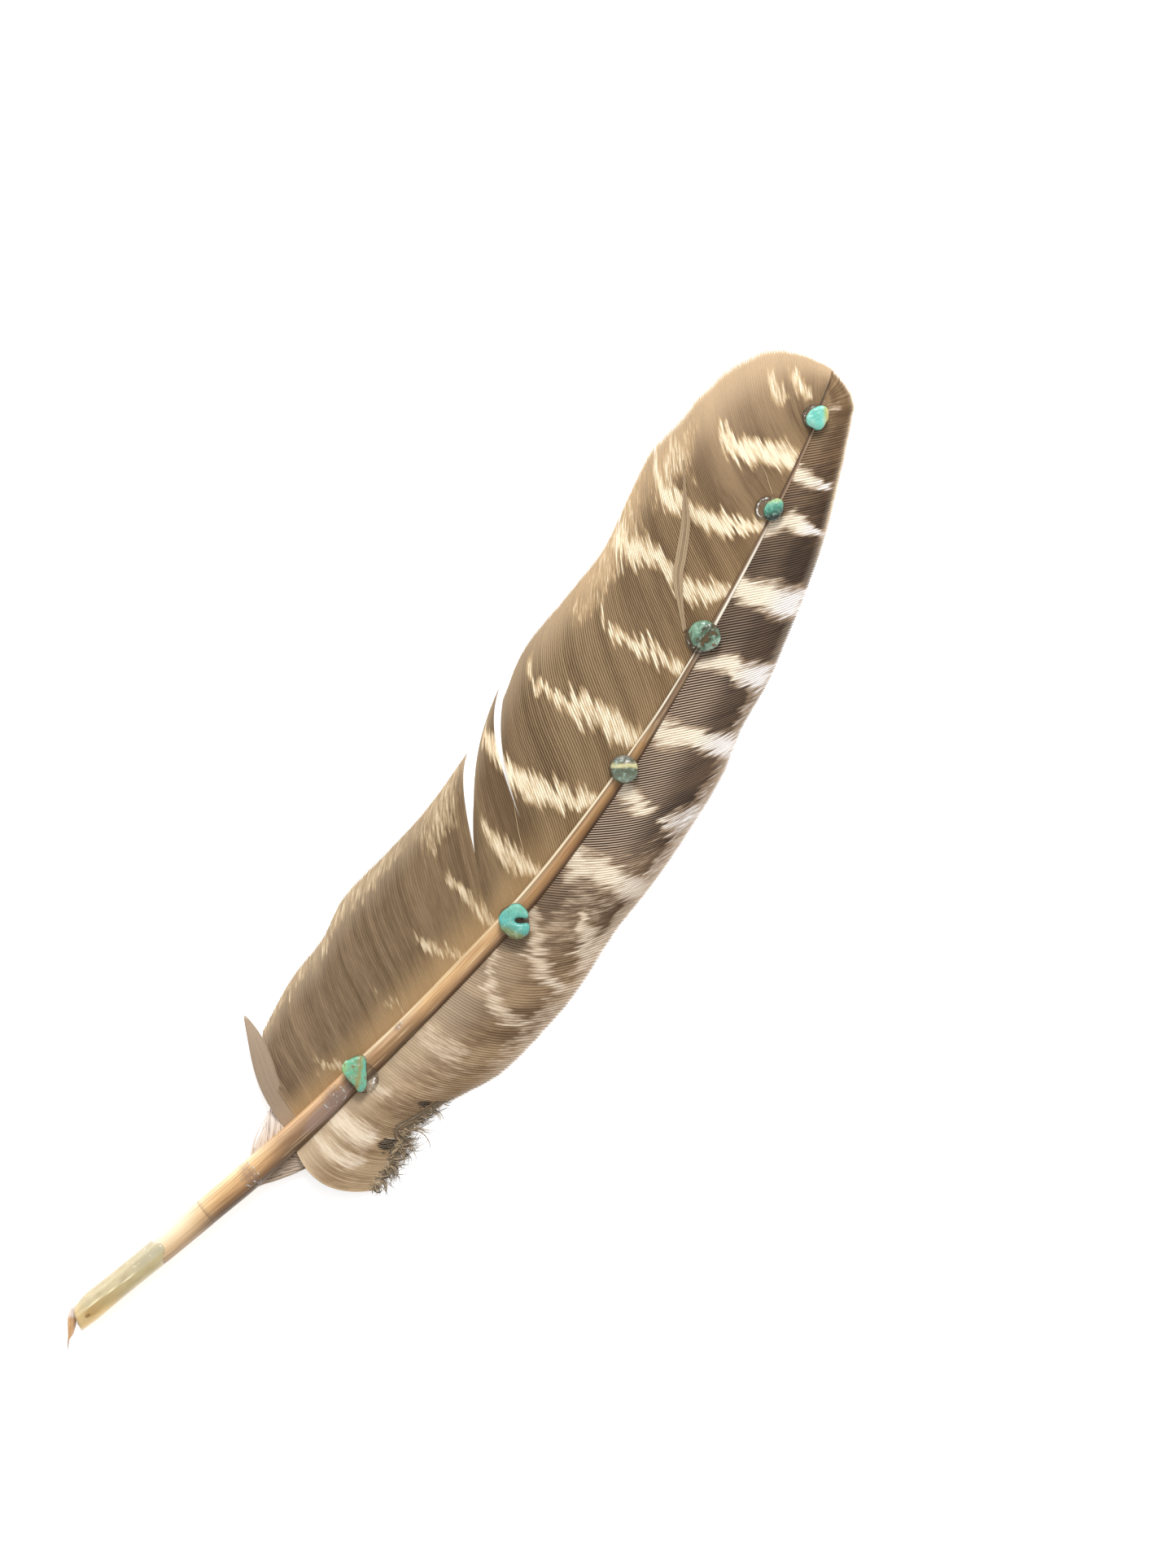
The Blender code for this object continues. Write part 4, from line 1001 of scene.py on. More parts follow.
def barb_rings(vane, k):
    depth, places = section_places(vane, k)
    relief = 0.01 + 0.08 * depth
    wide = vane.half[k][:, None, None] * vane.across[k][:, None, :] * places[..., None]
    rings = vane.paths[k][:, None, :] + wide
    thin = (0.08 + 0.92 * depth) * (1 - 0.6 * blend(vane.t, 0.85, 1.0))
    rings[..., 2] += relief[:, None] * BARB_SECTION[None, :, 1] + thin[:, None] * BARB_SECTION[None, :, 2]
    return rings


def build_vane(vane, name, bars, look, slot, node):
    """The vane's barbs, in pieces that each span about the same stretch of the shaft."""
    first, last = vane.roots[0], vane.roots[-1]
    groups = max(1, round((last - first) / GROUP_SPAN))
    for group in range(groups):
        strands = Strands()
        for k, x in enumerate(vane.roots):
            if min(groups - 1, int((x - first) / (last - first) * groups)) == group:
                strands.add(barb_rings(vane, k), barb_values(vane, k, bars))
        label = name if groups == 1 else f"{name}_{group + 1}"
        stands_for(strands.build(label, look), slot, node)


# ---------------------------------------------------------------- materials


def linear(level):
    """A display level from 0 to 255, as the linear level that shaders take."""
    share = level / 255
    return ((share + 0.055) / 1.055) ** 2.4 if level > 10 else share / 12.92


def colour(red, green, blue):
    """A display colour, as the linear colour that shaders take."""
    return linear(red), linear(green), linear(blue)


class Value:
    """A result of a material's nodes, for sums written in the usual way."""

    def __init__(self, look, socket):
        self.look = look
        self.socket = socket

    def __add__(self, other):
        return self.look.math("ADD", self, other)

    def __radd__(self, other):
        return self.look.math("ADD", other, self)

    def __sub__(self, other):
        return self.look.math("SUBTRACT", self, other)

    def __mul__(self, other):
        return self.look.math("MULTIPLY", self, other)

    def __truediv__(self, other):
        return self.look.math("DIVIDE", self, other)

    def __pow__(self, power):
        return self.look.math("POWER", self, power)

    def __abs__(self):
        return self.look.math("ABSOLUTE", self)

    def or_more(self, other):
        """The larger of the two."""
        return self.look.math("MAXIMUM", self, other)

    def between(self, a, b):
        """a where the value is 0 and b where it is 1."""
        return a + self * (b - a)

    def spread(self, low, high, to_low=0.0, to_high=1.0):
        """The value mapped smoothly from low..high to to_low..to_high."""
        inputs = {"Value": self, "From Min": low, "From Max": high, "To Min": to_low, "To Max": to_high}
        return self.look.result(0, "ShaderNodeMapRange", inputs, interpolation_type="SMOOTHSTEP")


class Look:
    """A node material under construction. Inputs may be numbers, display colours or nodes' results."""

    def __init__(self, name):
        self.material = bpy.data.materials.new(name)
        self.material.use_nodes = True
        self.nodes = self.material.node_tree.nodes
        self.links = self.material.node_tree.links
        self.shader = self.nodes["Principled BSDF"]

    def put(self, socket, value):
        if isinstance(value, Value):
            self.links.new(value.socket, socket)
        elif isinstance(value, tuple) and socket.type == "RGBA":
            socket.default_value = (*colour(*value), 1.0)
        else:
            socket.default_value = value

    def node(self, kind, inputs=(), **settings):
        made = self.nodes.new(kind)
        for key, value in settings.items():
            setattr(made, key, value)
        for key, value in dict(inputs).items():
            self.put(made.inputs[key], value)
        return made

    def result(self, output, kind, inputs=(), **settings):
        return Value(self, self.node(kind, inputs, **settings).outputs[output])

    def value(self, name):
        return self.result("Fac", "ShaderNodeAttribute", attribute_name=name)

    def math(self, operation, a, b=0.0):
        return self.result(0, "ShaderNodeMath", {0: a, 1: b}, operation=operation)

    def vector_math(self, operation, a, b, output=0):
        return self.result(output, "ShaderNodeVectorMath", {0: a, 1: b}, operation=operation)

    def stretch(self, vector, scale):
        return self.result(0, "ShaderNodeMapping", {"Vector": vector, "Scale": scale})

    def place(self):
        """The point on the object, in millimetres."""
        return self.stretch(self.result("Object", "ShaderNodeTexCoord"), (1 / MM, 1 / MM, 1 / MM))

    def noise(self, vector, scale=1.0, detail=3.0, roughness=0.55, distortion=0.0):
        inputs = {"Vector": vector, "Scale": scale, "Detail": detail, "Roughness": roughness}
        inputs["Distortion"] = distortion
        return self.result("Fac", "ShaderNodeTexNoise", inputs)

    def streaks(self, scale, detail, roughness):
        """Noise that runs with a strand, at scales along it, across it and through it."""
        vector = self.result("Vector", "ShaderNodeAttribute", attribute_name="grain")
        return self.noise(self.stretch(vector, scale), 1.0, detail, roughness)

    def cells(self, scale):
        """Distance from the nearest of many scattered points."""
        return self.result("Distance", "ShaderNodeTexVoronoi", {"Vector": self.place(), "Scale": scale})

    def mix(self, share, a, b):
        inputs = {"Factor": share, 6: a, 7: b}
        return self.result(2, "ShaderNodeMix", inputs, data_type="RGBA", clamp_factor=True)

    def ramp(self, value, stops):
        """A colour ramp. Each stop is a place from 0 to 1 and a display colour."""
        made = self.node("ShaderNodeValToRGB", {"Fac": value})
        elements = made.color_ramp.elements
        while len(elements) < len(stops):
            elements.new(0.5)
        for element, (place, *shade) in zip(elements, stops):
            element.position = place
            element.color = (*colour(*shade), 1.0)
        return Value(self, made.outputs["Color"])

    def bump(self, height, strength, distance):
        inputs = {"Height": height, "Strength": strength, "Distance": distance * MM}
        self.put(self.shader.inputs["Normal"], self.result("Normal", "ShaderNodeBump", inputs))

    def finish(self, **inputs):
        for key, value in inputs.items():
            self.put(self.shader.inputs[key.replace("_", " ").title().replace("Ior", "IOR")], value)
        return self.material


def spot(x, side, middle, reaches):
    """Distance from a spot's middle, squared, as a share of its reaches along x and side."""
    return ((x - middle[0]) / reaches[0]) ** 2.0 + ((side - middle[1]) / reaches[1]) ** 2.0


def vane_look(name, side):
    """Barred web: streaky brown or cream barbs, each with a painted highlight on its lighter ridge, and
    painted shade in the darker lines between them.
    """
    look = Look(name)
    wide = side > 0
    tones = WIDE_TONES if wide else NARROW_TONES
    ridge_colour_and_highlight, groove_colour_and_shade, crease_colour_and_shade = WIDE_LINES if wide else NARROW_LINES
    across = abs(look.value("across"))
    contrast = look.value("contrast")
    along = look.value("along")
    root_x = look.value("root_x")
    streak = look.streaks((0.22, 1.3, 1.0), 3.0, 0.55)
    fine = look.streaks((1.6, 7.0, 1.0), 2.0, 0.5)
    broad = look.result(0, "ShaderNodeCombineXYZ", {"X": root_x * 0.13, "Y": along})
    cloud = look.noise(look.stretch(broad, (1.0, 1.8, 1.0)), 1.0, 2.0, 0.5)

    place = (root_x - TONE_START) / TONE_SPAN
    shades = [
        look.ramp(place, [((row[0] - TONE_START) / TONE_SPAN, *row[column]) for row in tones])
        for column in (1, 2)
    ]
    tone = look.value("tone") + (streak - 0.5) * 0.9
    blotch = root_x.spread(110.0, 150.0, 0.4, 0.9) if wide else root_x.spread(95.0, 125.0, 1.2, 2.2)
    tone = tone + (cloud - 0.5) * blotch
    base = look.mix(tone.spread(0.0, 1.0), *shades)
    if wide:
        warm = along.spread(0.26, 0.0) * root_x.spread(175.0, 140.0, 0.15, 0.6)
        base = look.mix(warm, base, (196, 160, 114))
        # Paler outer barbs: their own worn tone together with painted light shining through the thin edge.
        edge = along.spread(0.62, 1.0) * root_x.spread(160.0, 135.0, 0.6, 0.7)
        worn = look.mix(root_x.spread(150.0, 195.0), (184, 164, 138), (222, 194, 158))
        base = look.mix(edge, base, worn)
        bloom = along.spread(0.2, 0.9) * root_x.spread(236.0, 262.0, 0.0, 0.3)
        base = look.mix(bloom, base, (222, 190, 152))
        leaf = root_x.spread(71.8, 71.2)
        base = look.mix(leaf * 0.7, base, (166, 146, 126))
        # A brighter rim at the very edge: painted light through the thinnest ends, strongest towards the tip.
        rim = along.spread(0.95, 0.99) * root_x.spread(185.0, 235.0, 0.1, 0.55)
        base = look.mix(rim, base, (230, 204, 164))
    else:
        pale_root = along.spread(0.5, 0.0) * root_x.spread(165.0, 110.0, 0.0, 0.42)
        base = look.mix(pale_root, base, (228, 206, 176))
        # Paler edge and a brighter rim: painted light shining through the thin outer barbs.
        edge = along.spread(0.86, 1.0) * root_x.spread(240.0, 160.0, 0.3, 0.65)
        base = look.mix(edge, base, (214, 196, 176))
        rim = along.spread(0.93, 0.99) * root_x.spread(235.0, 262.0, 0.0, 0.75)
        base = look.mix(rim, base, (236, 210, 172))

    # Painted highlight along each barb's ridge and painted shade in the grooves between barbs, over the
    # barb's own lighter shaft and darker barbules.
    ridge = across.spread(0.55, 0.1) * contrast
    valley = across.spread(0.45, 0.95) * contrast
    ridge = ridge * (0.5 if wide else contrast * 0.9)
    base = look.mix(ridge, base, ridge_colour_and_highlight)
    base = look.mix(valley * (0.7 if wide else 0.85), base, groove_colour_and_shade)

    pale_share = look.value("bar")
    noisy = (pale_share + (streak - 0.5) * 1.5) * pale_share.spread(0.02, 0.3)
    soft = root_x.spread(168.0, 142.0)
    fringe = noisy.spread(soft.between(0.0, -0.1), soft.between(0.55, 0.8))
    bar = noisy.spread(soft.between(0.3, 0.1), soft.between(0.95, 1.3))
    if wide:
        pale = look.mix(streak.spread(0.35, 0.6), (226, 202, 164), (250, 236, 206))
    else:
        pale = look.mix(along.spread(0.4, 0.85), (250, 236, 212), (242, 236, 232))
        pale = look.mix(soft * 0.75, pale, (230, 212, 186))
    # Painted shade in the creases between barbs inside a pale bar.
    crease = across.spread(0.5, 1.0) * (contrast + 0.06)
    pale = look.mix(crease * 0.55, pale, crease_colour_and_shade)
    golden = (204, 172, 128) if wide else (188, 160, 130)
    shade = look.mix(fringe * 0.62, base, golden)
    shade = look.mix(bar, shade, pale)
    shade = look.mix(fine.spread(0.4, 0.7) * 0.1, shade, (70, 54, 40))
    shade = look.mix(look.value("under") * 0.25, shade, (196, 180, 160))
    look.bump(fine, 0.15, 0.03)
    rough = streak.spread(0.3, 0.7, 0.5, 0.68)
    return look.finish(base_color=shade, roughness=rough, specular_ior_level=0.14)


def strand_look(name, root, tip, dark, spread=0.5):
    """Loose barbs, down and frayed ends: streaked from root to tip, with some strands darker."""
    look = Look(name)
    grain = look.streaks((0.9, 3.0, 1.0), 4.0, 0.6)
    shade = look.mix(look.value("along").spread(0.1, 1.0), root, tip)
    amount = look.value("tone") + (grain - 0.5)
    shade = look.mix(amount.spread(0.8 - spread, 1.1), shade, dark)
    look.bump(grain, 0.2, 0.05)
    rough = grain.spread(0.3, 0.7, 0.5, 0.75)
    return look.finish(base_color=shade, roughness=rough, specular_ior_level=0.35, sheen_weight=0.1)


def shaft_look(name):
    """Horn with long streaks: scraped cream, golden, brown with a painted highlight line, grey, and dark at
    the tip, with painted shade on the narrow vane's side.
    """
    look = Look(name)
    side = look.value("side") * 0.5 + 0.5
    x = look.value("x")
    streak = look.streaks((0.05, 2.6, 2.6), 4.0, 0.6)
    fine = look.streaks((0.14, 9.0, 9.0), 3.0, 0.6)
    shade = None
    # The zones paint shade on the narrow vane's side and a highlight line near the wide vane's side.
    for start, end, stops in SHAFT_ZONES:
        zone = look.ramp(side, stops)
        shade = zone if shade is None else look.mix(x.spread(start, end), shade, zone)
    amount = x.spread(200.0, 225.0, 0.45, 0.15) * x.spread(30.0, 50.0, 0.4, 1.0)
    shade = look.mix(streak.spread(0.44, 0.66) * amount, shade, (128, 84, 46))
    scraped = x.spread(30.0, 50.0, 0.08, 0.3)
    shade = look.mix(fine.spread(0.5, 0.7) * scraped, shade, (104, 70, 42))
    shade = look.mix(streak.spread(0.44, 0.3) * 0.35, shade, (248, 222, 176))
    stain = (spot(x, side, (79.0, 0.36), (9.0, 0.34)) + streak).spread(1.7, 0.9)
    shade = look.mix(stain * 0.55, shade, (150, 126, 116))
    below = look.value("below") * 0.8
    shade = look.mix(below, shade, (206, 184, 150))
    look.bump(streak + fine * 0.5, 0.3, 0.1)
    rough = fine.spread(0.3, 0.7, 0.3, 0.48)
    return look.finish(base_color=shade, roughness=rough, specular_ior_level=0.4)


def barrel_look(name):
    """Translucent horn: cream and olive where it is hollow, amber at the rims, with a fine bright ridge,
    painted glints, and painted shade in the hollow, a small hole and on the inner wall.
    """
    look = Look(name)
    side = look.value("side")
    x = look.value("x")
    cloud = look.streaks((0.22, 0.6, 0.6), 4.0, 0.6)
    scratch = look.streaks((0.15, 5.0, 5.0), 3.0, 0.6)
    off = side - x.spread(1.0, 22.0, 0.14, -0.16)
    upper = look.mix(cloud.spread(0.35, 0.65), (204, 188, 150), (182, 168, 132))
    lower = look.mix(x.spread(6.0, 20.0), (188, 162, 110), (196, 180, 134))
    lower = look.mix(cloud.spread(0.35, 0.65, 0.0, 0.5), lower, (172, 152, 108))
    grey = look.mix(x.spread(14.0, 25.0, 0.0, 0.6), upper, (186, 180, 154))
    shade = look.mix(off.spread(-0.06, 0.06), lower, grey)
    light = side.spread(0.42, 0.6) * side.spread(0.85, 0.62)
    shade = look.mix(light * 0.5, shade, (226, 210, 174))
    rim = abs(side)
    shade = look.mix(rim.spread(0.82, 1.0) * 0.6, shade, (214, 184, 136))
    glow = side.spread(-0.35, -0.8) * x.spread(13.0, 5.0)
    shade = look.mix(glow * 0.8, shade, (232, 196, 124))
    mouth = (x + cloud * 3.0).spread(6.5, 1.0)
    shade = look.mix(mouth * 0.7, shade, (226, 194, 136))
    # Painted shade: the darker hollow seen through the horn near the mouth, and a small dark hole.
    hollow = spot(x, side, (5.4, -0.3), (3.6, 0.34)).spread(1.1, 0.75)
    shade = look.mix(hollow * x.spread(8.0, 2.5, 0.1, 0.75), shade, (178, 142, 80))
    dot = spot(x, side, (2.7, -0.35), (0.75, 0.13)).spread(1.4, 0.2)
    shade = look.mix(dot * 0.7, shade, (120, 84, 36))
    ridge = look.value("ridge") * scratch.spread(0.25, 0.5, 0.7, 1.0)
    shade = look.mix(ridge, shade, (255, 242, 200))
    glint = look.streaks((0.7, 1.8, 1.8), 3.0, 0.6)
    glint = glint.spread(0.6, 0.7) * side.spread(0.0, 0.25)
    shade = look.mix(glint * 0.6, shade, (252, 246, 224))
    # Painted shade on the inner wall, inside the tube.
    shade = look.mix(look.value("inside") * 0.85, shade, (120, 92, 56))
    look.bump(scratch + cloud, 0.15, 0.08)
    rough = scratch.spread(0.3, 0.7, 0.16, 0.32)
    return look.finish(base_color=shade, roughness=rough, coat_weight=0.3, coat_roughness=0.1)


def nib_look(name):
    """Stained horn: tan with brown grain, a pinkish white painted highlight at its root, grey with ink at the
    point.
    """
    look = Look(name)
    along = look.value("along")
    streak = look.streaks((0.5, 7.0, 7.0), 4.0, 0.6)
    shade = look.mix(streak.spread(0.35, 0.65), (228, 184, 132), (186, 140, 96))
    # A pinkish white painted highlight at the nib's root.
    shade = look.mix((along + streak * 0.1).spread(0.24, 0.1), shade, (246, 228, 216))
    shade = look.mix(along.spread(0.66, 0.92), shade, (196, 188, 174))
    side = look.value("across")
    shade = look.mix(side.spread(-0.5, -1.0) * 0.55, shade, (226, 196, 180))
    look.bump(streak, 0.25, 0.06)
    return look.finish(base_color=shade, roughness=streak.spread(0.3, 0.7, 0.35, 0.55))


def pulp_look(name, light, dark):
    """Dry, papery stuff inside the shaft."""
    look = Look(name)
    foam = look.noise(look.place(), 1.6, 5.0, 0.7)
    shade = look.mix(foam.spread(0.3, 0.7), light, dark)
    look.bump(look.cells(3.0), 0.5, 0.2)
    return look.finish(base_color=shade, roughness=foam.spread(0.3, 0.7, 0.75, 0.95))


def ink_look(name):
    """Dried blue-black ink with a dull, cracked skin."""
    look = Look(name)
    crust = look.noise(look.place(), 2.4, 5.0, 0.65)
    shade = look.mix(crust.spread(0.35, 0.65), (34, 38, 54), (84, 88, 104))
    look.bump(crust, 0.6, 0.2)
    return look.finish(base_color=shade, roughness=crust.spread(0.3, 0.7, 0.3, 0.7))


def glue_look(name):
    """Clear glue: nearly invisible in the middle and dark at its rim, with white spots and a broken ring that
    paint the highlights of its bubbles and of caught light.
    """
    look = Look(name)
    share = look.value("along")
    cloud = look.noise(look.place(), 0.7, 3.0, 0.5)
    # White spots: painted highlights on bubbles. The broken ring: a painted highlight round the dome.
    bubble = look.cells(0.8).spread(0.2, 0.1) * cloud.spread(0.48, 0.56)
    ring = share.spread(0.66, 0.74) * share.spread(0.88, 0.8)
    ring = ring * cloud.spread(0.55, 0.61)
    glint = bubble.or_more(ring)
    shade = look.mix(share.spread(0.6, 0.95), (150, 136, 118), (92, 80, 66))
    shade = look.mix(glint, shade, (255, 255, 250))
    solid = share.spread(0.76, 1.0, 0.1, 0.42)
    solid = solid.or_more(glint * 0.85)
    look.bump(cloud, 0.1, 0.15)
    rough = cloud.spread(0.35, 0.65, 0.04, 0.1)
    return look.finish(base_color=shade, roughness=rough, alpha=solid, coat_weight=0.5, coat_roughness=0.03)


def film_look(name):
    """A dried skin of glue: a faint grey stain inside a broken whitish edge, with white painted highlights on
    a few shiny lumps.
    """
    look = Look(name)
    share = look.value("along")
    cloud = look.noise(look.place(), 0.8, 4.0, 0.6)
    lumps = look.noise(look.place(), 1.5, 3.0, 0.5)
    edge = share.spread(0.8, 0.95) * cloud.spread(0.44, 0.6)
    # White patches on the lumps: painted highlights.
    lump = lumps.spread(0.58, 0.7) * share.spread(0.95, 0.5)
    white = edge.or_more(lump)
    shade = look.mix(white, (150, 128, 118), (232, 232, 226))
    solid = (white * 0.75).or_more(share.spread(1.0, 0.3, 0.03, 0.3))
    look.bump(lumps, 0.4, 0.15)
    rough = cloud.spread(0.35, 0.65, 0.08, 0.3)
    return look.finish(base_color=shade, roughness=rough, alpha=solid, coat_weight=0.4, coat_roughness=0.06)


def turquoise_look(node, stone):
    """Polished turquoise. Its colour changes along a heading, with matrix in veins and in patches, and
    painted shade on its steep sides.
    """
    look = Look(stone["finish"])
    low, high = (Vector(corner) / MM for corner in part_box(node))
    reach = max(high.x - low.x, high.y - low.y)
    heading = math.radians(stone["heading"])
    line = (math.cos(heading) / reach, math.sin(heading) / reach, 0.0)
    scale = stone["scale"]
    away = look.vector_math("SUBTRACT", look.place(), tuple((low + high) / 2))
    share = look.vector_math("DOT_PRODUCT", away, line, "Value")
    shifted = look.vector_math("ADD", away, (stone["seed"], stone["seed"] * 0.7, 0.0))
    cloud = look.noise(shifted, 0.42 * scale, 4.0, 0.6, 0.5)
    shade = look.ramp(share + 0.5 + (cloud - 0.5) * stone["wave"], stone["stops"])
    pale = look.noise(shifted, 0.9 * scale, 3.0, 0.55)
    shade = look.mix(pale.spread(0.5, 0.72, 0.0, 0.35), shade, (196, 232, 214))
    web = abs(look.noise(shifted, 0.36 * scale, 3.0, 0.6, 0.7) - 0.5)
    web = web.spread(0.028, 0.004) * cloud.spread(0.42, 0.58, 0.2, 1.0)
    shade = look.mix(web * stone["veins"], shade, stone["vein"])
    blotch = look.noise(shifted, 0.5 * scale, 5.0, 0.65, 0.4)
    widen = 0.24 * stone["patches"]
    blotch = blotch.spread(0.72 - widen, 0.78 - widen)
    shade = look.mix(blotch * 0.9, shade, stone["matrix"])
    # Painted shade: darker where the surface turns away from straight up, on the chip's steep sides.
    normal = look.result("Normal", "ShaderNodeNewGeometry")
    upright = look.result("Z", "ShaderNodeSeparateXYZ", {"Vector": normal})
    shade = look.mix(upright.spread(0.62, 0.05, 0.0, 0.8), shade, (52, 58, 46))
    look.bump(cloud - web, 0.25, 0.1)
    rough = cloud.spread(0.3, 0.7, 0.2, 0.36)
    return look.finish(base_color=shade, roughness=rough, coat_weight=0.2, coat_roughness=0.12)


def floor_look(name):
    """A pale, evenly lit studio sweep with the faintest mottling."""
    look = Look(name)
    soft = look.noise(look.place(), 0.01, 2.0, 0.5)
    shade = look.mix(soft, (250, 250, 250), (246, 246, 246))
    white = (255, 255, 255)
    return look.finish(base_color=shade, roughness=0.9, emission_color=white, emission_strength=0.45)


# ---------------------------------------------------------------- shaft pieces

RING_ANGLES = [2 * math.pi * k / SHAFT_SIDES for k in range(SHAFT_SIDES)]


def section_side(x, angle):
    """Place across the shaft, from -1 at the narrow vane to 1 at the wide vane."""
    away = (shaft_point(x, angle) - Vector((x, shaft_middle(x), 0.0))).dot(shaft_sideways(x))
    return away / (shaft_width(x) / 2)


class ShaftRings:
    """Rings round the shaft, with the values that its materials read."""

    def __init__(self):
        self.rings = []
        self.values = {"side": [], "x": [], "below": [], "inside": [], "ridge": [], "grain": []}

    def add(self, x, grow=0.0, shape=None, inside=0.0, ripple=0.0):
        """One ring. shape gives each point a move along X, a share of the width and a share of the ridge."""
        ring = []
        found = {key: [] for key in self.values}
        for angle in RING_ANGLES:
            side = section_side(x, angle)
            slide, squeeze, ridge = shape(x, angle, side) if shape else (0.0, 1.0, 0.0)
            wave = ripple * (wander(angle * 9.0, 3.0 + 0.02 * x) + 0.5 * wander(angle * 23.0, 5.0 + 0.01 * x))
            where = shaft_point(x + slide, angle, grow + wave + RIDGE_HEIGHT * ridge)
            middle = Vector((x + slide, shaft_middle(x + slide), where.z))
            ring.append(middle + (where - middle) * squeeze)
            radius = shaft_width(x) / 2
            found["side"].append(side)
            found["x"].append(x + slide)
            found["below"].append(ease(-math.sin(angle), 0.2, 0.6))
            found["inside"].append(inside)
            found["ridge"].append(ridge)
            found["grain"].append((x + slide, radius * math.cos(angle), radius * math.sin(angle)))
        self.rings.append(ring)
        for key, row in found.items():
            self.values[key].append(row)

    def build(self, name, look, ring_closed=False):
        strands = Strands()
        strands.add(self.rings, {key: np.array(rows) for key, rows in self.values.items()}, ring_closed)
        return strands.build(name, look)


def barrel_end(side):
    """X of the rounded line where the clear barrel gives way to the cream neck."""
    return BARREL_END + 0.3 - 1.7 * ease(side, 0.25, 1.0) - 2.8 * ease(-side, 0.0, 0.9)


def barrel_shape(x, angle, side):
    """The slanted mouth with its rounded corner, the rounded far end, and the ridge along the top."""
    mouth = 1 - ease(x, 0.0, MOUTH_END)
    end = ease(x, 16.0, BARREL_END)
    slide = MOUTH_LEAN * side * shaft_width(x) / 2 * mouth + (barrel_end(side) - BARREL_END) * end
    squeeze = 1 - MOUTH_CORNER * max(0.0, side) * (1 - ease(x, -1.0, 5.5))
    off = (side - 0.14 + 0.3 * ease(x, 1.0, 22.0)) / 0.035
    ridge = math.exp(-off * off) * (1 - ease(x, 17.0, 21.0)) if math.sin(angle) > 0 else 0.0
    return slide, squeeze, ridge


def neck_shape(x, angle, side):
    """The neck's lower end, which follows the barrel's. It is the same all round, so angle is not read."""
    start = 1 - ease(x, BARREL_END, 34.0)
    return (barrel_end(side) - BARREL_END) * start, 1.0, 0.0


def make_barrel():
    rings = ShaftRings()
    stops = np.linspace(0.0, BARREL_END - 0.05, BARREL_RINGS)
    for x in stops:
        rings.add(float(x), shape=barrel_shape, ripple=BARREL_RIPPLE)
    for x in stops[::-1]:
        rings.add(float(x), -BARREL_WALL, barrel_shape, inside=1.0)
    barrel = rings.build("clear_barrel", barrel_look("clear_barrel_horn"), ring_closed=True)
    stands_for(barrel, "clear_horn", "barrel")


def make_neck():
    """The neck starts just inside the barrel and ends just inside the shaft, so that no gap shows."""
    rings = ShaftRings()
    stops = np.linspace(BARREL_END - LAP, NECK_END + LAP, NECK_RINGS)
    for x in stops:
        tucked = 1 - ease(x, BARREL_END - 0.1, BARREL_END + 0.4)
        tucked += ease(x, NECK_END - 0.4, NECK_END)
        rings.add(float(x), 0.03 - 0.07 * tucked, neck_shape, ripple=BARREL_RIPPLE * (1 - tucked))
    for x in stops[::-1]:
        rings.add(float(x), -NECK_WALL, neck_shape, inside=1.0)
    neck = rings.build("scraped_neck", shaft_look("scraped_neck_horn"), ring_closed=True)
    stands_for(neck, "scraped_horn", "neck")


def make_rachis():
    """The shell's skin runs down its inside from the end of the hollow, and back up outside to the tip."""
    rings = ShaftRings()
    for x in np.linspace(HOLLOW_END, NECK_END, HOLLOW_RINGS):
        rings.add(float(x), -SHELL_WALL, inside=1.0)
    for x in np.linspace(NECK_END, SHAFT_TIP, SHELL_RINGS):
        rough = (1 - ease(x, 180.0, 240.0)) * ease(x, NECK_END, 46.0)
        rings.add(float(x), ripple=SHELL_RIPPLE * rough)
    stands_for(rings.build("shaft", shaft_look("streaked_horn")), "shaft_horn", "rachis_shell")


def nib_edge(t, hand):
    """Distance from the slit to the nib's edge: the wider tine has a cut shoulder."""
    return smooth_value(NIB_EDGES, t, 1 if hand > 0 else 2)


def make_nib():
    """Two tines that part at a fine slit past the middle."""
    run = (NIB_TIP - NIB_ROOT).normalized()
    across = Vector((run.y, -run.x, 0.0)).normalized()
    strands = Strands()
    for hand in (-1.0, 1.0):
        rings, along, wide, grain = [], [], [], []
        for step in range(NIB_STEPS + 1):
            t = (1 + NIB_LAP) * step / NIB_STEPS - NIB_LAP
            slit = 0.03 * ease(t, 0.46, 0.56) * (1 - 0.5 * t) - 0.01
            middle = NIB_ROOT.lerp(NIB_TIP, t) + Vector((0.0, 0.0, 0.55 * math.sin(math.pi * t)))
            ring, ring_grain = [], []
            for share, lift in NIB_SECTION:
                v = slit + (nib_edge(t, hand) - slit) * share
                sag = 0.5 * v * v * (1 - t)
                ring.append(middle + across * hand * v + Vector((0.0, 0.0, lift * (1 - 0.55 * t) - sag)))
                ring_grain.append((t * 9.0, hand * v, lift))
            rings.append(ring)
            along.append([t] * len(NIB_SECTION))
            wide.append([hand * share for share, _ in NIB_SECTION])
            grain.append(ring_grain)
        strands.add(rings, {"along": np.array(along), "across": np.array(wide), "grain": np.array(grain)})
    stands_for(strands.build("slit_nib", nib_look("nib_horn")), "stained_horn", "nib")


